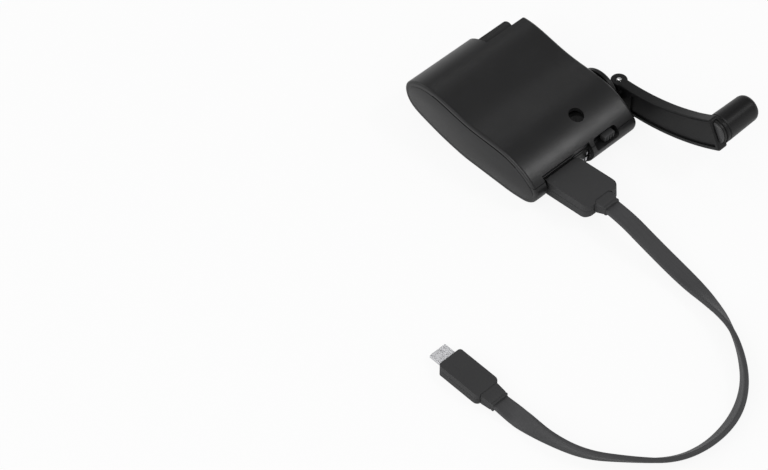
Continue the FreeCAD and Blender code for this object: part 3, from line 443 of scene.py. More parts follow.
@dataclass(frozen=True)
class Winding(Finish):
    """Enamelled copper wire, wound in rows across the rotor, with painted shade in the hollows between the
    rows.

    Attributes:
        rows: How closely the rows follow one another.
        relief: The depth between the rows in metres.
    """

    rows: float = 900.0
    relief: float = 0.0001

    def sockets(self, shader: Shader) -> dict[str, object]:
        """Lay the wire in rows, with painted shade darkening the hollows between them.

        Args:
            shader: The material's shader.

        Returns:
            What feeds the surface.
        """
        height = shader.signal(
            "ShaderNodeTexWave", {"bands_direction": "Y", "wave_profile": "SIN"},
            {"Vector": shader.place(), "Scale": self.rows, "Distortion": 1.2}, output="Fac")
        return {
            # Painted shade: the colour darkens to 0.35 of itself in the hollows between the rows.
            "Base_Color": shader.shades(height, self.colour, 0.35, 1.0),
            "Metallic": 0.8,
            "Roughness": self.roughness,
            "Normal": shader.bump(height, self.relief),
        }


@dataclass(frozen=True)
class ClearLens(Finish):
    """Tinted clear plastic, moulded with a frosted underside.

    Attributes:
        depth: How much of the light goes through.
        specular: How strongly it shines, where 0.5 is glass.
        frost: The size of the frosting in metres.
        relief: The depth of the frosting in metres.
    """

    depth: float = 0.5
    specular: float = 0.5
    frost: float = 0.0005
    relief: float = 0.00002

    def sockets(self, shader: Shader) -> dict[str, object]:
        """Lay the frosting over the tint.

        Args:
            shader: The material's shader.

        Returns:
            What feeds the surface.
        """
        frost = shader.noise(shader.place(), self.frost)
        return {
            "Base_Color": shader.shades(frost, self.colour, 0.7, 1.0),
            "Roughness": frost.swing(0.1) + self.roughness,
            "Transmission_Weight": self.depth,
            "IOR": 1.5,
            "Specular_IOR_Level": self.specular,
            "Normal": shader.bump(frost, self.relief),
        }


class Finishes:
    """Every finish on the charger, made once each."""

    CASING = MouldedPlastic("casing_black", (0.0095, 0.0095, 0.01), 0.34, specular=0.5, rubs=0.4)
    CRANK = MouldedPlastic(
        "crank_black", (0.006, 0.006, 0.0063), 0.4, specular=0.28, grain=0.0002, relief=0.000012)
    # Painted highlight: the knob's collar is a much lighter grey than the crank, standing for the lit band
    # at the arm's tip.
    COLLAR_HIGHLIGHT = MouldedPlastic("collar_painted_highlight", (0.042, 0.042, 0.043), 0.4, specular=0.6, grain=0.0002, rubs=0.0)
    PLUG = MouldedPlastic(
        "plug_charcoal", (0.036, 0.036, 0.037), 0.55, specular=0.32, grain=0.00022, relief=0.000022)
    LEAD = SoftSheath("lead_charcoal", (0.048, 0.048, 0.05), 0.55)
    STEEL = Metal("steel_bright", (0.72, 0.72, 0.74), 0.24, Grain.ROLLED_Y)
    PIN = Metal("steel_polished", (0.95, 0.95, 0.95), 0.14, Grain.DRAWN_Z, tarnish=0.05)
    DARK_STEEL = Metal("steel_blackened", (0.16, 0.16, 0.17), 0.36, Grain.EVEN)
    BRASS = Metal("brass_turned", (0.72, 0.52, 0.24), 0.28, Grain.ROLLED_X)
    GOLD = Metal("contact_gold", (0.9, 0.68, 0.3), 0.22, Grain.ROLLED_Y, tarnish=0.15)
    NYLON = MouldedPlastic(
        "nylon_natural", (0.72, 0.69, 0.6), 0.42, specular=0.45, grain=0.0004, clouds=0.2, rubs=0.0)
    BLACK_INSERT = MouldedPlastic("insert_black", (0.012, 0.012, 0.012), 0.4, grain=0.0003, rubs=0.0)
    SLIDE = MouldedPlastic("slide_grey", (0.035, 0.035, 0.036), 0.42, grain=0.0003, rubs=0.0)
    WHITE_INSERT = MouldedPlastic(
        "insert_white", (0.74, 0.74, 0.72), 0.4, specular=0.45, clouds=0.1, rubs=0.0)
    BOARD = SolderMask("board_green", (0.02, 0.13, 0.05), 0.3)
    MAGNET = MouldedPlastic("magnet_grey", (0.05, 0.05, 0.055), 0.5, specular=0.5, grain=0.0001, rubs=0.0)
    COPPER = Winding("copper_winding", (0.62, 0.25, 0.1), 0.35)
    LAMP = ClearLens("lamp_green", (0.3, 0.62, 0.3), 0.12, depth=0.6)
    # Painted shade: the lamp's lens is near-black and opaque, so that its hole reads as dark shade over the
    # green lamp.
    LENS = ClearLens("lens_painted_shade", (0.006, 0.006, 0.006), 0.22, depth=0.0, specular=0.12)
    WIRE = MouldedPlastic("wire_red", (0.5, 0.03, 0.02), 0.38, specular=0.5, grain=0.0004, rubs=0.0)

    BY_SLOT: dict[str, Finish] = {
        "casing": CASING, "crank": CRANK, "plug": PLUG, "lead": LEAD, "steel": STEEL,
        "spring_steel": DARK_STEEL, "brass": BRASS, "contact": GOLD, "nylon": NYLON,
        "black_insert": BLACK_INSERT, "white_insert": WHITE_INSERT, "board": BOARD, "magnet": MAGNET,
        "winding": COPPER, "lamp": LAMP, "lens": LENS, "wire": WIRE,
    }
    BY_NODE: dict[str, Finish] = {"hinge_pin": PIN, "switch_slider": SLIDE}

    def __init__(self) -> None:
        """Start with no material made."""
        self.made: dict[str, bpy.types.Material] = {}

    def material(self, finish: Finish) -> bpy.types.Material:
        """Find a finish's material, made when it is first asked for.

        Args:
            finish: The finish.

        Returns:
            The material.
        """
        if finish.name not in self.made:
            self.made[finish.name] = finish.make()
        return self.made[finish.name]

    def dress_frame(self) -> None:
        """Give every CAD node its own finish, or else that of its material slot."""
        for part in frame["record"]["subparts"]:
            shown = frame["nodes"][part["node"]]
            finish = self.BY_NODE.get(part["node"], self.BY_SLOT[part["material_slot"]])
            for slot in shown.material_slots:
                slot.material = self.material(finish)
            LOG.info("%s: %s", part["node"], finish.name)

    def dress(self, piece: bpy.types.Object, finish: Finish, body: str, slot: str) -> bpy.types.Object:
        """Give a modelled piece its material and its body.

        Args:
            piece: The piece.
            finish: Its finish.
            body: The CAD body that it moves with.
            slot: The record's material slot that it belongs to; not used.

        Returns:
            The piece.
        """
        piece.data.materials.clear()
        piece.data.materials.append(self.material(finish))
        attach(piece, body)
        LOG.info("%s: %d faces on %s", piece.name, len(piece.data.polygons), body)
        return piece


# ------------------------------------------------------------------ modelling tools


class Axis(Enum):
    """The way that a disc or a plane faces."""

    X = (1.0, 0.0, 0.0)
    Y = (0.0, 1.0, 0.0)
    Z = (0.0, 0.0, 1.0)


def deselect() -> None:
    """Deselect everything, so that an operator acts on one piece only."""
    for thing in bpy.context.selected_objects:
        thing.select_set(False)


def activate(piece: bpy.types.Object) -> None:
    """Make a piece the active object and the only selected one.

    Args:
        piece: The piece.
    """
    deselect()
    piece.select_set(True)
    bpy.context.view_layer.objects.active = piece


def tilted(place: Point, angle: float) -> Matrix:
    """A frame at a place in millimetres, tilted about X by an angle in degrees."""
    return Matrix.Translation([at * MM for at in place]) @ Matrix.Rotation(math.radians(angle), 4, "X")


def eased(start: float | Vector, leave: float | Vector, stop: float | Vector, arrive: float | Vector,
          share: float) -> float | Vector:
    """Go from one value to the next along a cubic.

    Args:
        start: The first value.
        leave: How fast the cubic leaves it, over the whole stretch.
        stop: The second value.
        arrive: How fast the cubic reaches it.
        share: How far along the stretch it is, from 0 to 1.

    Returns:
        The value there.
    """
    square, cube = share ** 2, share ** 3
    return (
        start * (2 * cube - 3 * square + 1) + leave * (cube - 2 * square + share)
        + stop * (3 * square - 2 * cube) + arrive * (cube - square))


class Workpiece:
    """A mesh shaped with Blender's own operators, in its sub-assembly's frame."""

    def __init__(self, name: str) -> None:
        """Take over the primitive that was just added.

        Args:
            name: The piece's name.
        """
        self.piece = bpy.context.object
        self.piece.name = name
        self.piece.data.name = name
        bpy.ops.object.transform_apply(location=True, rotation=True, scale=True)

    @classmethod
    def block(cls, name: str, low: Point, high: Point) -> "Workpiece":
        """Start from a block.

        Args:
            name: The piece's name.
            low: Its lowest corner in millimetres.
            high: Its highest corner in millimetres.

        Returns:
            The piece.
        """
        deselect()
        centre = [(a + b) / 2 * MM for a, b in zip(low, high)]
        size = [(b - a) * MM for a, b in zip(low, high)]
        bpy.ops.mesh.primitive_cube_add(size=1.0, location=centre, scale=size)
        return cls(name)

    @classmethod
    def disc(cls, name: str, centre: Point, radius: float, depth: float, facing: Axis,
             sides: int) -> "Workpiece":
        """Start from a disc.

        Args:
            name: The piece's name.
            centre: Its middle in millimetres.
            radius: Its radius in millimetres.
            depth: Its thickness in millimetres.
            facing: The way that it faces, X or Z.
            sides: How many sides go round it.

        Returns:
            The piece.
        """
        deselect()
        bpy.ops.mesh.primitive_cylinder_add(
            vertices=sides, radius=radius * MM, depth=depth * MM, location=[at * MM for at in centre],
            rotation=(0.0, math.pi / 2 if facing is Axis.X else 0.0, 0.0))
        return cls(name)

    def _edit(self, mode: str) -> bmesh.types.BMesh:
        """Go into edit mode with nothing selected.

        Args:
            mode: What is selected there: VERT, EDGE or FACE.

        Returns:
            The mesh that is edited.
        """
        activate(self.piece)
        bpy.ops.object.mode_set(mode="EDIT")
        bpy.ops.mesh.select_mode(type=mode)
        bpy.ops.mesh.select_all(action="DESELECT")
        return bmesh.from_edit_mesh(self.piece.data)

    def pick_edges(self, test: Test) -> None:
        """Select edges in edit mode.

        Args:
            test: Says from an edge's middle, in millimetres, and its direction whether it is meant.
        """
        mesh = self._edit("EDGE")
        for edge in mesh.edges:
            start, stop = (vertex.co / MM for vertex in edge.verts)
            edge.select = bool(test((start + stop) / 2, (stop - start).normalized()))
        mesh.select_flush_mode()
        bmesh.update_edit_mesh(self.piece.data)

    def pick_faces(self, test: Test) -> None:
        """Select faces in edit mode.

        Args:
            test: Says from a face's middle, in millimetres, and its normal whether it is meant.
        """
        mesh = self._edit("FACE")
        for face in mesh.faces:
            face.select = bool(test(face.calc_center_median() / MM, face.normal))
        mesh.select_flush_mode()
        bmesh.update_edit_mesh(self.piece.data)

    @contextmanager
    def vertices(self) -> Iterator[list[Vector]]:
        """Let the mesh's vertices be moved by hand inside a with block.

        Yields:
            The vertices in millimetres.
        """
        mesh = self._edit("VERT")
        corners = [vertex.co / MM for vertex in mesh.verts]
        yield corners
        for vertex, corner in zip(mesh.verts, corners):
            vertex.co = corner * MM
        bmesh.update_edit_mesh(self.piece.data)
        self.done()

    def done(self) -> None:
        """Leave edit mode."""
        bpy.ops.object.mode_set(mode="OBJECT")

    def round_edges(self, test: Test, radius: float, segments: int) -> None:
        """Round off edges.

        Args:
            test: Says which edges, as in pick_edges.
            radius: The rounding's radius in millimetres.
            segments: How many steps it has.
        """
        self.pick_edges(test)
        bpy.ops.mesh.bevel(offset=radius * MM, segments=segments, affect="EDGES", clamp_overlap=True)
        self.done()

    def draw_out(self, test: Test, offset: Point, shrink: Point = (1.0, 1.0, 1.0),
                 centre: Point = (0.0, 0.0, 0.0)) -> None:
        """Extrude faces and scale their new end.

        Args:
            test: Says which faces, as in pick_faces.
            offset: How far they go in millimetres.
            shrink: Their scale afterwards, along each axis.
            centre: The point in millimetres that the scaling leaves in place.
        """
        self.pick_faces(test)
        value = [step * MM for step in offset]
        bpy.ops.mesh.extrude_region_move(TRANSFORM_OT_translate={"value": value})
        bpy.ops.transform.resize(value=shrink, center_override=[at * MM for at in centre])
        self.done()

    def slice_at(self, facing: Axis, level: float) -> None:
        """Add a loop of edges where a plane meets the piece.

        Args:
            facing: The way that the plane faces.
            level: Where it is along that axis, in millimetres.
        """
        self._edit("FACE")
        bpy.ops.mesh.select_all(action="SELECT")
        bpy.ops.mesh.bisect(plane_co=[share * level * MM for share in facing.value], plane_no=facing.value)
        self.done()

    def sink_band(self, test: Test, depth: float) -> None:
        """Sink a band of faces to make a groove.

        Args:
            test: Says which faces, as in pick_faces.
            depth: The groove's depth in millimetres.
        """
        self.pick_faces(test)
        bpy.ops.mesh.extrude_region_shrink_fatten(TRANSFORM_OT_shrink_fatten={"value": -depth * MM})
        self.done()

    def carve(self, tool: "Workpiece") -> None:
        """Cut another piece's shape out of this one, and throw that piece away.

        Args:
            tool: The piece that is cut out.
        """
        activate(self.piece)
        cut = self.piece.modifiers.new("Cut", "BOOLEAN")
        cut.operation = "DIFFERENCE"
        cut.object = tool.piece
        cut.solver = "EXACT"
        bpy.ops.object.modifier_apply(modifier=cut.name)
        bpy.data.objects.remove(tool.piece)

    def settle(self, placed: Matrix, smooth: float = 40.0) -> bpy.types.Object:
        """Close the mesh, put it in its place and shade it.

        Args:
            placed: From the sub-assembly's frame to the charger's.
            smooth: The angle in degrees up to which edges are shaded smooth.

        Returns:
            The finished object, at the origin.
        """
        self._edit("VERT")
        bpy.ops.mesh.select_all(action="SELECT")
        bpy.ops.mesh.remove_doubles(threshold=1e-6)
        bpy.ops.mesh.normals_make_consistent(inside=False)
        self.done()
        self.piece.matrix_world = placed
        bpy.ops.object.transform_apply(location=True, rotation=True, scale=True)
        bpy.ops.object.shade_smooth_by_angle(angle=math.radians(smooth))
        return self.piece


# ------------------------------------------------------------------ sub-assemblies


@dataclass
class PlugGrip:
    """A plug's moulded grip and strain relief, long along -Y in its own frame. Millimetres.

    Attributes:
        name: What the pieces' names start with.
        placed: From the plug's frame to the charger's, in metres.
        width: The grip's width.
        thick: The grip's thickness.
        front: Where the grip starts along Y.
        length: The grip's length.
        corners: The radii in plan of its front and its back corners.
        slant: The angle in degrees by which its front face leans, so that it sits against what it meets.
        edge: The radius of its upper and lower edges.
        slope: How far the grip's back end drops, and over what length.
        relief_front: The relief's width and thickness where it leaves the grip.
        relief_back: Its width and thickness at its end.
        relief_length: How far it stands out of the grip.
        rooted: How far its root shows in the grip's sloping end.
        replaced: The CAD nodes of the grip and the relief.
        front_edge: The radius of the front face's upper and lower edges.
        lean_run: How far behind the front face its lean has faded out.
        parting: The height and the depth of the parting line's groove.
        seam: The gap round the relief's root.
        root_corner: The radius in plan of the root's corners.
        root_out: How far the root stands out of the grip, before the relief tapers.
        collar: The groove and the collar at the relief's end, as each step's length and the scale of its
            width and thickness.
    """

    name: str
    placed: Matrix
    width: float
    thick: float
    front: float
    length: float
    corners: Pair
    slant: float
    edge: float
    slope: Pair
    relief_front: Pair
    relief_back: Pair
    relief_length: float
    rooted: float
    replaced: tuple[str, str]
    front_edge: float = 0.45
    lean_run: float = 4.0
    parting: Pair = (0.14, 0.09)
    seam: float = 0.16
    root_corner: float = 2.2
    root_out: float = 0.3
    collar: tuple[tuple[float, Pair], ...] = (
        (0.2, (0.985, 0.89)), (0.16, (0.998, 0.98)), (0.16, (1.0 / 0.998, 1.0 / 0.98)),
        (0.2, (1.0, 1.0 / 0.89)), (0.3, (0.995, 0.99)), (0.2, (0.975, 0.96)), (0.13, (0.95, 0.91)),
    )

    @property
    def back(self) -> float:
        """Where the grip ends along Y."""
        return self.front - self.length

    def build(self, finishes: Finishes) -> list[bpy.types.Object]:
        """Model both pieces.

        Args:
            finishes: The charger's finishes.

        Returns:
            The grip and the relief.
        """
        pieces = [self._grip(), self._relief()]
        for piece, node in zip(pieces, self.replaced):
            finishes.dress(piece, Finishes.PLUG, "root", "plug")
            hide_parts(node)
        return pieces

    def _grip(self) -> bpy.types.Object:
        """Model a block with round corners, a back end that slopes and a fine parting line.

        Returns:
            The grip.
        """
        half_width, half_thick = self.width / 2, self.thick / 2
        halfway = self.front - self.length / 2
        drop, run = self.slope
        work = Workpiece.block(
            f"{self.name}_grip", (-half_width, self.back, -half_thick), (half_width, self.front, half_thick))
        for radius, ahead in zip(self.corners, (True, False)):
            work.round_edges(
                lambda middle, way: abs(way.z) > ALONG and (middle.y > halfway) == ahead,
                radius=radius, segments=8)
        work.slice_at(Axis.Y, self.back + run)
        self._shape_ends(work)
        level = half_thick - drop - MARGIN
        behind_corners = self.front - self.corners[0] - MARGIN
        work.round_edges(
            lambda middle, way: abs(middle.z) > level and middle.y < behind_corners
            and not self._crosses(middle, way), radius=self.edge, segments=8)
        work.round_edges(
            lambda middle, way: abs(middle.z) > level and middle.y > self.front - 2 * self.front_edge
            and abs(way.x) > MOSTLY, radius=self.front_edge, segments=4)
        half_line, depth = self.parting[0] / 2, self.parting[1]
        for height in (-half_line, half_line):
            work.slice_at(Axis.Z, height)
        work.sink_band(
            lambda middle, normal: abs(middle.z) < half_line - NEAR and abs(normal.z) < PARTLY, depth)
        work.carve(self._tongue(f"{self.name}_cutter", self.seam))
        return work.settle(self.placed)

    def _crosses(self, middle: Vector, way: Vector) -> bool:
        """True for the edge that runs straight across the grip where its slope starts."""
        return abs(way.x) > ALONG and abs(middle.y - (self.back + self.slope[1])) < NEAR

    def _shape_ends(self, work: Workpiece) -> None:
        """Lean the grip's front face and slope its upper and lower faces towards its back end.

        Args:
            work: The grip, sliced where its slope starts.
        """
        drop, run = self.slope
        slope_start = self.back + run
        with work.vertices() as corners:
            for corner in corners:
                if corner.y > slope_start + NEAR:
                    reach = max(corner.y - (self.front - self.lean_run), 0.0) / self.lean_run
                    corner.y -= math.tan(math.radians(self.slant)) * corner.z * min(reach, 1.0)
                elif corner.y < slope_start - NEAR:
                    share = (slope_start - corner.y) / run
                    corner.z -= math.copysign(drop * share ** 1.6, corner.z)

    def _tongue(self, name: str, spare: float) -> Workpiece:
        """Model the strain relief's root inside the grip.

        Args:
            name: The piece's name.
            spare: How much wider it is all round, for the seam.

        Returns:
            The root.
        """
        half_width, half_thick = (size / 2 + spare for size in self.relief_front)
        start, end = self.back - self.root_out, self.back + self.rooted + spare
        work = Workpiece.block(name, (-half_width, start, -half_thick), (half_width, end, half_thick))
        work.round_edges(
            lambda middle, way: abs(way.z) > MOSTLY and middle.y > self.back,
            radius=self.root_corner + spare, segments=8)
        work.round_edges(
            lambda middle, way: abs(middle.z) > half_thick - NEAR and abs(way.z) < ACROSS
            and middle.y > start + MARGIN, radius=0.58 * half_thick, segments=6)
        return work

    def _relief(self) -> bpy.types.Object:
        """Model a root in the grip, a neck that tapers, a groove, and a collar that the lead comes out of.

        Returns:
            The relief.
        """
        work = self._tongue(f"{self.name}_relief", 0.0)
        reached = self.back - self.root_out
        neck_end = self.back - self.relief_length + sum(distance for distance, _ in self.collar)
        taper = tuple(end / start for end, start in zip(self.relief_back, self.relief_front))
        for distance, (across, up) in ((reached - neck_end, taper), *self.collar):
            work.draw_out(
                lambda middle, normal: normal.y < -MOSTLY and abs(middle.y - reached) < 2 * NEAR,
                (0.0, -distance, 0.0), (across, 1.0, up), (0.0, reached - distance, 0.0))
            reached -= distance
        return work.settle(self.placed, smooth=50.0)


@dataclass
class RibbonLead:
    """The flat charging lead, which lies flat at both plugs and stands on edge round its loop. Millimetres.

    Attributes:
        width: The ribbon's width.
        thick: Its thickness.
        corner: The radius of its edges.
        length: Its length; not used.
        route: The points that steer it, from the big plug to the small one.
        turns: How far it is turned up from flat, as (distance along it, degrees).
        buried: How far each end goes into its relief.
        clearance: How far its lowest edge stays above the table.
        valley: The shallow valley along its broad faces, as (share of the half width, depth).
    """

    LAYOUT = "sheath"

    width: float = 6.5
    thick: float = 1.7
    corner: float = 0.6
    length: float = 184.0
    route: tuple[Point, ...] = (
        (-10.4, -44.68, 8.65), (-11.0, -51.6, 9.1), (-11.5, -60.5, 7.3), (-11.6, -70.3, 4.8),
        (-12.2, -80.4, 3.4), (-13.2, -90.5, 3.0), (-15.5, -100.5, 3.0), (-21.1, -111.0, 3.0),
        (-30.4, -121.6, 3.0), (-42.4, -128.3, 3.0), (-56.6, -130.0, 3.0), (-69.5, -126.3, 3.0),
        (-79.7, -115.6, 3.0), (-87.4, -106.3, 3.0), (-91.0, -95.5, 3.0), (-92.2, -83.5, 2.75),
        (-91.8, -73.18, 2.4),
    )
    turns: tuple[Pair, ...] = (
        (0.0, 0.0), (20.0, -3.0), (36.0, 2.0), (50.0, 38.0), (62.0, 70.0), (80.0, 96.0), (97.0, 123.0),
        (112.0, 127.0), (130.0, 125.5), (152.0, 107.0), (164.0, 87.0), (173.0, 52.0), (180.0, 12.0),
        (184.0, 0.0),
    )
    buried: float = 1.6
    clearance: float = 0.05
    valley: tuple[Pair, ...] = (
        (0.62, 0.0), (0.36, 0.05), (0.12, 0.09), (-0.12, 0.09), (-0.36, 0.05), (-0.62, 0.0))

    def build(self, finishes: Finishes, carried: Sequence[bpy.types.Object]) -> bpy.types.Object:
        """Sweep the ribbon along its route.

        Args:
            finishes: The charger's finishes.
            carried: The pieces on its far end; not used.

        Returns:
            The ribbon.
        """
        line = self._centreline()
        piece = self._sweep(line)
        finishes.dress(piece, Finishes.LEAD, "root", "lead")
        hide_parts("flat_lead")
        [at * MM for at in self.route[0]]
        [list(point) for point in line]
        return piece

    def _centreline(self) -> list[Vector]:
        """Follow the route along a smooth curve.

        Returns:
            Points along the curve, in metres.
        """
        curve = bpy.data.curves.new("lead_route", "CURVE")
        curve.dimensions = "3D"
        curve.resolution_u = 18
        spline = curve.splines.new("NURBS")
        spline.points.add(len(self.route) - 1)
        for control, point in zip(spline.points, self.route):
            control.co = (*(at * MM for at in point), 1.0)
        spline.order_u = 3
        spline.use_endpoint_u = True
        guide = bpy.data.objects.new("lead_route", curve)
        bpy.context.scene.collection.objects.link(guide)
        bpy.context.view_layer.update()
        mesh = bpy.data.meshes.new_from_object(guide)
        points = [vertex.co.copy() for vertex in mesh.vertices]
        bpy.data.meshes.remove(mesh)
        bpy.data.objects.remove(guide)
        bpy.data.curves.remove(curve)
        return points

    def _section(self) -> list[Pair]:
        """Draw the ribbon's section, with a shallow valley along each broad face.

        Returns:
            Its points as (across, up), anticlockwise.
        """
        across, up, corner = self.width / 2, self.thick / 2, self.corner
        points = []
        for side, (x, z) in enumerate(((1, 1), (-1, 1), (-1, -1), (1, -1))):
            for step in range(5):
                angle = math.radians(90 * side + 22.5 * step)
                points.append((
                    x * (across - corner) + corner * math.cos(angle),
                    z * (up - corner) + corner * math.sin(angle)))
            if x == z:
                points.extend((x * place * across, z * (up - dip)) for place, dip in self.valley)
        return points

    def _turned_up(self, travelled: float) -> float:
        """Find how far the ribbon is turned up from flat.

        Args:
            travelled: The distance along it in millimetres.

        Returns:
            The angle in radians.
        """
        knots = self.turns
        travelled = min(max(travelled, knots[0][0]), knots[-1][0] - 0.001)
        index = next(number for number, knot in enumerate(knots) if knot[0] > travelled) - 1
        (start, low), (stop, high) = knots[index], knots[index + 1]
        before = knots[max(index - 1, 0)]
        after = knots[min(index + 2, len(knots) - 1)]
        leave = (high - before[1]) / (stop - before[0]) * (stop - start)
        arrive = (after[1] - low) / (after[0] - start) * (stop - start)
        return math.radians(eased(low, leave, high, arrive, (travelled - start) / (stop - start)))

    def _sweep(self, line: list[Vector]) -> bpy.types.Object:
        """Carry the section along a line, buried a little in both reliefs.

        Args:
            line: Points along the ribbon's middle, in metres.

        Returns:
            The ribbon.
        """
        first = line[0] - (line[1] - line[0]).normalized() * self.buried * MM
        last = line[-1] + (line[-1] - line[-2]).normalized() * self.buried * MM
        stations = [first, *line, last]
        travelled = [0.0]
        for before, after in zip(stations, stations[1:]):
            travelled.append(travelled[-1] + (after - before).length)
        section = self._section()
        rings: list[list[Vector]] = []
        for index, point in enumerate(stations):
            forward = stations[min(index + 1, len(stations) - 1)] - stations[max(index - 1, 0)]
            forward.normalize()
            side = forward.cross(Vector((0.0, 0.0, 1.0))).normalized()
            up = side.cross(forward)
            turn = self._turned_up(travelled[index] / MM - self.buried)
            broad = side * math.cos(turn) + up * math.sin(turn)
            face = up * math.cos(turn) - side * math.sin(turn)
            ring = [point + (broad * across + face * rise) * MM for across, rise in section]
            lift = max(self.clearance * MM - min(corner.z for corner in ring), 0.0)
            rings.append([corner + Vector((0.0, 0.0, lift)) for corner in ring])
        return self._skin(rings, travelled)

    def _skin(self, rings: list[list[Vector]], travelled: list[float]) -> bpy.types.Object:
        """Join the rings into a closed mesh with a layout of (round it, along it).

        Args:
            rings: The section's corners at each station.
            travelled: How far along the ribbon each station is, in metres.

        Returns:
            The ribbon.
        """
        count = len(rings[0])
        faces = [
            (low + side, low + (side + 1) % count, low + count + (side + 1) % count, low + count + side)
            for low in range(0, (len(rings) - 1) * count, count) for side in range(count)]
        faces.append(tuple(reversed(range(count))))
        faces.append(tuple((len(rings) - 1) * count + side for side in range(count)))
        mesh = bpy.data.meshes.new("lead_ribbon")
        mesh.from_pydata([corner for ring in rings for corner in ring], [], faces)
        self._lay_out(mesh, count, travelled)
        piece = bpy.data.objects.new("lead_ribbon", mesh)
        bpy.context.scene.collection.objects.link(piece)
        activate(piece)
        return Workpiece("lead_ribbon").settle(IN_PLACE, smooth=45.0)

    def _lay_out(self, mesh: bpy.types.Mesh, count: int, travelled: list[float]) -> None:
        """Give the ribbon's mesh its layout.

        Args:
            mesh: The mesh, ring after ring.
            count: How many corners a ring has.
            travelled: How far along the ribbon each ring is, in metres.
        """
        per_metre = 100.0
        layout = mesh.uv_layers.new(name=self.LAYOUT)
        for polygon in mesh.polygons:
            corners = [mesh.loops[index].vertex_index for index in polygon.loop_indices]
            places = [corner % count for corner in corners]
            wraps = len(corners) == 4 and max(places) - min(places) > count / 2
            for index, corner, place in zip(polygon.loop_indices, corners, places):
                around = count if wraps and place == 0 else place
                layout.data[index].uv = (around / count, travelled[corner // count] * per_metre)


@dataclass
class HingeDetails:
    """The peened ends of the hinge pin and the screw that holds the hub. Millimetres.

    Attributes:
        placed: From the hinge's frame to the charger's, in metres.
        pin_radius: The radius of the pin's ends.
        pin_top: How high the pin's upper end is in the hinge's frame.
        pin_bottom: How low its lower end is.
        pin_cap: How far past the pin's end the middle of its dome is, and the dome's thickness.
        pin_edge: The radius of the domes' rims.
        hub_axis: Where the crank's axis is, as (y, z).
        hub_face: Where the hub's outer face is along X.
        screw_radius: The radius of the screw's head.
        screw_thick: The thickness of its head.
        recess: The cross recess's width and length.
        recess_floor: How far the recess's floor is from the hub's face.
    """

    placed: Matrix
    pin_radius: float = 0.833
    pin_top: float = 5.4
    pin_bottom: float = -5.35
    pin_cap: Pair = (0.05, 0.26)
    pin_edge: float = 0.16
    hub_axis: Pair = (-4.1, 9.0)
    hub_face: float = 26.9
    screw_radius: float = 1.7
    screw_thick: float = 0.5
    recess: Pair = (0.36, 2.0)
    recess_floor: float = 0.15

    def build(self, finishes: Finishes) -> list[bpy.types.Object]:
        """Model the pin's ends and the screw.

        Args:
            finishes: The charger's finishes.

        Returns:
            The pieces.
        """
        ends = [
            self._pin_end("hinge_pin_top", self.pin_top, 1.0),
            self._pin_end("hinge_pin_foot", self.pin_bottom, -1.0),
        ]
        for piece in ends:
            finishes.dress(piece, Finishes.PIN, "crank", "steel")
        screw = finishes.dress(self._hub_screw(), Finishes.DARK_STEEL, "crank", "spring_steel")
        return [*ends, screw]

    def _pin_end(self, name: str, level: float, side: float) -> bpy.types.Object:
        """Model a low dome on one end of the pin.

        Args:
            name: The piece's name.
            level: Where the pin ends.
            side: 1 for its upper end and -1 for its lower end.

        Returns:
            The dome.
        """
        past, thick = self.pin_cap
        work = Workpiece.disc(
            name, (0.0, 0.0, level + side * past), self.pin_radius, thick, Axis.Z, sides=32)
        work.round_edges(
            lambda middle, way: (middle.z - level) * side > thick / 2 and abs(way.z) < PARTLY,
            radius=self.pin_edge, segments=5)
        return work.settle(self.placed, smooth=60.0)

    def _hub_screw(self) -> bpy.types.Object:
        """Model a pan head with a cross recess on the crank's axis.

        Returns:
            The screw's head.
        """
        y, z = self.hub_axis
        face = self.hub_face + self.screw_thick
        work = Workpiece.disc(
            "hub_screw", (self.hub_face + self.screw_thick / 2, y, z), self.screw_radius, self.screw_thick,
            Axis.X, sides=40)
        work.round_edges(
            lambda middle, way: middle.x > face - MARGIN and abs(way.x) < PARTLY, radius=0.3, segments=5)
        for width, height in (self.recess, reversed(self.recess)):
            work.carve(Workpiece.block(
                "hub_screw_tool", (self.hub_face + self.recess_floor, y - width / 2, z - height / 2),
                (face + 0.5, y + width / 2, z + height / 2)))
        return work.settle(IN_PLACE, smooth=35.0)


@dataclass
class ArmTip:
    """What the knob turns against, past the arm's square end: a collar whose lighter grey is a painted
    highlight, a dark seal and a boss. Millimetres.

    Attributes:
        hinge: From the hinge's frame to the charger's, in metres.
        knob_axis: Where the knob's axis is in the hinge's frame, as (y, z).
        collar: Where the collar starts and ends along X, its radius and its rims' radius.
        seal: The same for the seal between the collar and the boss.
        boss: The same for the boss, which is nearly as wide as the knob.
    """

    hinge: Matrix
    knob_axis: Pair = (-43.63, 10.71)
    collar: Turned = (-0.85, 0.35, 4.4, 0.5)
    seal: Turned = (-0.1, 1.0, 4.75, 0.1)
    boss: Turned = (0.8, 2.1, 5.28, 0.3)

    def build(self, finishes: Finishes) -> list[bpy.types.Object]:
        """Model the three discs.

        Args:
            finishes: The charger's finishes.

        Returns:
            The pieces.
        """
        discs = (
            # The collar's lighter grey is a painted highlight.
            ("knob_collar", self.collar, Finishes.COLLAR_HIGHLIGHT, "crank"),
            ("knob_seal", self.seal, Finishes.BLACK_INSERT, "black_insert"),
            ("knob_boss", self.boss, Finishes.CRANK, "crank"),
        )
        return [
            finishes.dress(self._disc(name, sizes), finish, "arm", slot)
            for name, sizes, finish, slot in discs]

    def _disc(self, name: str, sizes: Turned) -> bpy.types.Object:
        """Model a disc round the knob's axis with rounded rims.

        Args:
            name: The piece's name.
            sizes: Where it starts and ends along X, its radius and its rims' radius.

        Returns:
            The disc.
        """
        start, end, radius, edge = sizes
        work = Workpiece.disc(
            name, ((start + end) / 2, *self.knob_axis), radius, end - start, Axis.X, sides=72)
        work.round_edges(lambda middle, way: abs(way.x) < PARTLY, radius=edge, segments=5)
        return work.settle(self.hinge, smooth=50.0)


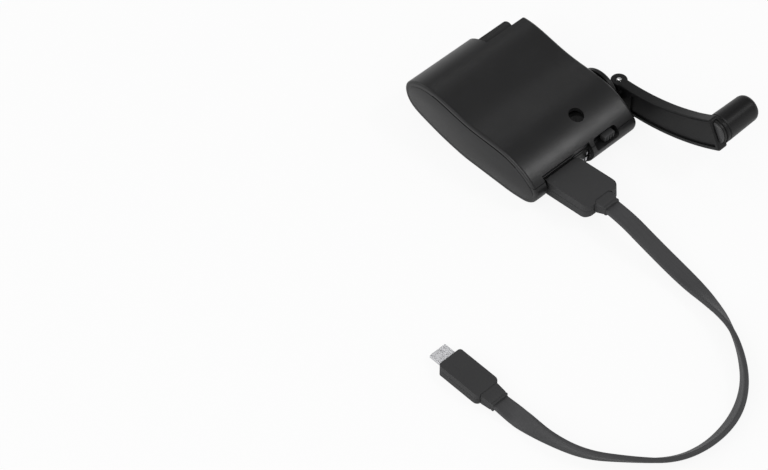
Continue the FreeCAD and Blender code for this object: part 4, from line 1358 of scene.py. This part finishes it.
@dataclass
class EndPlate:
    """The smooth plate that closes the casing's end away from the crank. Millimetres.

    Attributes:
        face: Where the casing's end is along X.
        proud: How far the plate stands out of it.
        sunk: How far the plate's back is inside the casing's end.
        edge: The radius of the plate's rim.
        outline: The plate's outline as (y, z), anticlockwise seen from outside.
        steps: How many steps each stretch of the outline is divided into.
    """

    face: float = -24.75
    proud: float = 0.14
    sunk: float = 0.02
    edge: float = 0.09
    outline: tuple[Pair, ...] = (
        (-9.0, 1.97), (-15.04, 2.45), (-18.43, 3.27), (-20.02, 4.5), (-21.05, 6.27), (-21.27, 7.79),
        (-19.94, 9.58), (-16.6, 12.1), (-12.34, 14.04), (-7.21, 15.35), (-0.01, 15.68), (9.16, 15.89),
        (17.36, 17.06), (25.67, 18.39), (31.61, 18.17), (35.89, 16.51), (38.13, 14.43), (38.29, 11.57),
        (36.64, 8.72), (30.27, 5.9), (22.76, 3.92), (15.31, 2.55), (9.0, 1.97),
    )
    steps: int = 6

    def build(self, finishes: Finishes) -> bpy.types.Object:
        """Model the plate.

        Args:
            finishes: The charger's finishes.

        Returns:
            The plate.
        """
        rim = self._rim()
        deselect()
        bpy.ops.mesh.primitive_circle_add(
            vertices=len(rim), radius=0.01, fill_type="NGON", rotation=(0.0, -math.pi / 2, 0.0))
        work = Workpiece("end_plate")
        with work.vertices() as corners:
            for corner, (y, z) in zip(corners, rim):
                corner.xyz = (self.face + self.sunk, y, z)
        work.draw_out(lambda middle, normal: True, (-self.proud - self.sunk, 0.0, 0.0))
        outer = self.face - self.proud + NEAR
        work.round_edges(
            lambda middle, way: middle.x < outer and abs(way.x) < ACROSS, radius=self.edge, segments=2)
        return finishes.dress(work.settle(IN_PLACE, smooth=50.0), Finishes.CASING, "root", "casing")

    def _rim(self) -> list[Pair]:
        """Smooth the outline.

        Returns:
            A closed run of points as (y, z).
        """
        knots = [Vector(knot) for knot in self.outline]
        points = []
        for index, knot in enumerate(knots):
            before = knots[index - 1]
            after, beyond = (knots[(index + ahead) % len(knots)] for ahead in (1, 2))
            for step in range(self.steps):
                at = eased(knot, (after - before) / 2, after, (beyond - knot) / 2, step / self.steps)
                points.append((at.x, at.y))
        return points


@dataclass
class PortSurround:
    """The charging socket: a folded steel sleeve in a black surround, partly painted shade, with small steel
    tabs. Millimetres.

    Attributes:
        placed: From the port's frame to the charger's, in metres.
        sleeve: The sleeve's outer width and height.
        wall: The thickness of its sheet.
        sleeve_span: Where it starts and ends along Y in the port's frame.
        sleeve_back: The thickness of its closed back.
        face: Where the surround's outer face is along Y.
        back: Where its back is.
        plate: The surround's lowest and highest corners as (x, z).
        window: How much wider and higher than the sleeve its window is, on each side.
        tabs: The steel tabs' lowest and highest corners as (x, z).
        tab_out: How far a tab stands out of the surround's face, and how deep it is rooted in it.
    """

    placed: Matrix
    sleeve: Pair = (13.2, 5.7)
    wall: float = 0.3
    sleeve_span: Pair = (0.05, 11.0)
    sleeve_back: float = 0.4
    face: float = -20.6
    back: float = -20.42
    plate: tuple[Pair, Pair] = ((-19.3, 3.9), (2.9, 8.9))
    window: Pair = (0.05, -0.55)
    tabs: tuple[tuple[Pair, Pair], ...] = (
        ((1.7, 3.95), (2.85, 5.5)), ((2.2, 6.7), (2.85, 7.9)), ((0.3, 4.6), (1.0, 5.5)))
    tab_out: Pair = (0.32, 0.08)

    def build(self, finishes: Finishes) -> list[bpy.types.Object]:
        """Model the sleeve, the surround and the tabs.

        Args:
            finishes: The charger's finishes.

        Returns:
            The pieces.
        """
        sleeve = finishes.dress(self._sleeve(), Finishes.STEEL, "root", "steel")
        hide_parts("usb_socket_shell")
        # Partly painted shade: the surround is black where the socket's steel flange sits, so that the shade
        # round the plug's front reads dark.
        surround = finishes.dress(self._surround(), Finishes.BLACK_INSERT, "root", "black_insert")
        tabs = [
            finishes.dress(self._tab(f"port_tab_{number}", low, high), Finishes.STEEL, "root", "steel")
            for number, (low, high) in enumerate(self.tabs, 1)]
        return [sleeve, surround, *tabs]

    def _sleeve(self) -> bpy.types.Object:
        """Model a tube of sheet metal, closed at its back.

        Returns:
            The sleeve.
        """
        half_width, half_height = (size / 2 for size in self.sleeve)
        start, end = self.sleeve_span
        work = Workpiece.block(
            "port_sleeve", (-half_width, start, -half_height), (half_width, end, half_height))
        work.round_edges(lambda middle, way: abs(way.y) > ALONG, radius=0.5, segments=3)
        work.pick_faces(lambda middle, normal: normal.y < -ALONG)
        bpy.ops.mesh.inset(thickness=self.wall * MM, depth=0.0)
        hollow = (0.0, (end - self.sleeve_back) * MM, 0.0)
        bpy.ops.mesh.extrude_region_move(TRANSFORM_OT_translate={"value": hollow})
        work.done()
        return work.settle(self.placed)

    def _surround(self) -> bpy.types.Object:
        """Model a thin plate with softened edges and a window for the sleeve.

        Returns:
            The surround.
        """
        (left, low), (right, high) = self.plate
        work = Workpiece.block("port_surround", (left, self.face, low), (right, self.back, high))
        work.round_edges(lambda middle, way: abs(way.y) > ALONG, radius=0.6, segments=4)
        work.round_edges(
            lambda middle, way: middle.y < self.face + NEAR and abs(way.y) < ACROSS, radius=0.07, segments=2)
        x, _, z = self.placed.translation / MM
        half_width, half_height = (size / 2 + spare for size, spare in zip(self.sleeve, self.window))
        work.carve(Workpiece.block(
            "port_window", (x - half_width, self.face - 1.0, z - half_height),
            (x + half_width, self.face + 0.6, z + half_height)))
        return work.settle(IN_PLACE)

    def _tab(self, name: str, low: Pair, high: Pair) -> bpy.types.Object:
        """Model a small folded tab with a rolled outer face.

        Args:
            name: The piece's name.
            low: Its lowest corner as (x, z).
            high: Its highest corner as (x, z).

        Returns:
            The tab.
        """
        out, rooted = self.tab_out
        work = Workpiece.block(
            name, (low[0], self.face - out, low[1]), (high[0], self.face + rooted, high[1]))
        work.round_edges(
            lambda middle, way: middle.y < self.face - 0.3 and abs(way.z) > MOSTLY, radius=0.25, segments=4)
        work.round_edges(
            lambda middle, way: middle.y < self.face - 0.2 and abs(way.x) > PARTLY, radius=0.1, segments=2)
        return work.settle(IN_PLACE)


# ------------------------------------------------------------------ studio


@dataclass
class Studio:
    """The floor, the lamps, the surroundings and the camera.

    Attributes:
        camera_at: The camera's place.
        looks_along: The direction that it looks in.
        lens: Its focal length in millimetres, for a frame as wide as the sensor.
        sensor: The width of its sensor in millimetres.
        floor_size: The floor's side.
        floor_level: The floor's height, a little below the charger's underside.
        floor_colour: The floor's colour.
        floor_seen: How much of the floor is plain white where the camera looks at it.
        floor_mirrored: How much of it is plain white where it is mirrored.
        surround: How brightly the surroundings light the object.
        ceiling: How bright the surroundings above the object look in shiny surfaces, where they are 1 near
            the floor's level.
        lamps: Each lamp's name, place, side and power.
    """

    camera_at: Point = (-0.46595, -0.4124, 0.665)
    looks_along: Point = (0.4515, 0.4741, -0.7559)
    lens: float = 123.23
    sensor: float = 36.0
    floor_size: float = 8.0
    floor_level: float = -0.00005
    floor_colour: Colour = (0.86, 0.86, 0.86)
    floor_seen: float = 0.9
    floor_mirrored: float = 0.2
    surround: float = 0.55
    ceiling: float = 0.26
    lamps: tuple[tuple[str, Point, float, float], ...] = (
        ("lamp_front", (0.63, -0.63, 1.08), 0.32, 2.9),
        ("lamp_left", (-1.2, -0.2, 0.9), 0.9, 7.0),
        ("lamp_rear", (-0.5, 1.3, 1.0), 0.9, 3.0),
        ("lamp_back", (0.72, 0.75, 1.23), 0.18, 0.3),
    )

    def build(self) -> None:
        """Set everything up round the object."""
        self._floor()
        self._surroundings()
        for name, place, size, power in self.lamps:
            self._lamp(name, Vector(place), size, power)
        self._camera()
        bpy.context.scene.view_settings.view_transform = "Standard"

    def _floor(self) -> None:
        """Lay a pale floor that shows the object's shadow softly."""
        deselect()
        bpy.ops.mesh.primitive_plane_add(size=self.floor_size, location=(0.0, 0.0, self.floor_level))
        floor = bpy.context.object
        floor.name = "studio_floor"
        shader = Shader(bpy.data.materials.new("floor_pale"))
        colour = shader.shades(shader.noise(shader.place(), 0.6), self.floor_colour, 0.99, 1.0)
        matte = shader.signal("ShaderNodeBsdfDiffuse", inputs={"Color": colour})
        glow = shader.signal("ShaderNodeEmission", inputs={"Color": (1.0, 1.0, 1.0, 1.0), "Strength": 1.0})
        seen, mirrored = shader.rays()
        share = seen * self.floor_seen + mirrored * self.floor_mirrored
        mixed = shader.signal("ShaderNodeMixShader", inputs={0: share, 1: matte, 2: glow})
        shader.node("ShaderNodeOutputMaterial", inputs={0: mixed})
        floor.data.materials.append(shader.owner)

    def _surroundings(self) -> None:
        """Put up a plain white surround that lights the object more softly than it looks."""
        shader = Shader(bpy.data.worlds.new("studio_surround"))
        seen, mirrored = shader.rays()
        way = shader.signal("ShaderNodeTexCoord", output="Generated")
        height = shader.signal("ShaderNodeSeparateXYZ", inputs={0: way}, output=2)
        reflection = height.rising(0.6, -0.1) * (1.0 - self.ceiling) + self.ceiling
        strength = mirrored * (reflection - self.surround) + self.surround
        strength = seen * (1.0 - self.surround) + strength
        background = shader.signal(
            "ShaderNodeBackground", inputs={"Color": (1.0, 1.0, 1.0, 1.0), "Strength": strength})
        shader.node("ShaderNodeOutputWorld", inputs={0: background})
        bpy.context.scene.world = shader.owner

    @staticmethod
    def _lamp(name: str, place: Vector, size: float, power: float) -> None:
        """Hang one soft square lamp that faces the object.

        Args:
            name: The lamp's name.
            place: Where it hangs.
            size: Its side.
            power: Its power in watts.
        """
        light = bpy.data.lights.new(name, "AREA")
        light.size = size
        light.energy = power
        lamp = bpy.data.objects.new(name, light)
        lamp.location = place
        lamp.rotation_euler = (Vector((0.0, 0.0, 0.01)) - place).to_track_quat("-Z", "Y").to_euler()
        bpy.context.scene.collection.objects.link(lamp)

    def _camera(self) -> None:
        """Stand the camera in its place."""
        lens = bpy.data.cameras.new("camera")
        lens.lens = self.lens
        lens.sensor_width = self.sensor
        lens.sensor_fit = "HORIZONTAL"
        lens.clip_start = 0.01
        lens.clip_end = 50.0
        camera = bpy.data.objects.new("camera", lens)
        forward = Vector(self.looks_along).normalized()
        right = forward.cross(Vector((0.0, 0.0, 1.0))).normalized()
        turned = Matrix((right, right.cross(forward), -forward)).transposed().to_4x4()
        camera.matrix_world = Matrix.Translation(self.camera_at) @ turned
        bpy.context.scene.collection.objects.link(camera)
        bpy.context.scene.camera = camera


# ------------------------------------------------------------------ the whole charger


def main() -> None:
    """Build the charger and its studio in order."""
    logging.basicConfig(level=logging.INFO, format="%(name)s %(message)s")
    finishes = Finishes()
    finishes.dress_frame()
    Studio().build()
    port = tilted((-10.4, -20.4, 6.1), -6.0)
    big_plug = PlugGrip(
        name="big_plug", placed=port, width=15.8, thick=6.0, front=-0.25, length=19.95, corners=(1.4, 2.6),
        slant=6.0, edge=2.05, slope=(0.8, 3.6), relief_front=(8.6, 4.6), relief_back=(7.1, 3.9),
        relief_length=4.0, rooted=2.5, replaced=("usb_a_overmold", "usb_a_relief"))
    small_plug = PlugGrip(
        name="small_plug", placed=tilted((-91.85, -49.8, 2.4), 0.0), width=9.8, thick=4.8, front=0.0,
        length=17.9, corners=(1.1, 1.8), slant=0.0, edge=1.6, slope=(0.35, 2.6), relief_front=(7.4, 3.9),
        relief_back=(6.8, 3.4), relief_length=5.3, rooted=1.0, replaced=("micro_overmold", "micro_relief"))
    big_plug.build(finishes)
    carried = small_plug.build(finishes)
    shell = [frame["nodes"][name] for name in ("micro_shell", "micro_insert")]
    RibbonLead().build(finishes, [*carried, *shell])
    EndPlate().build(finishes)
    PortSurround(placed=port).build(finishes)
    hinge = tilted((31.5, -8.15, 7.7), -2.1)
    HingeDetails(placed=hinge).build(finishes)
    ArmTip(hinge=hinge).build(finishes)


if __name__ == "__main__":
    main()
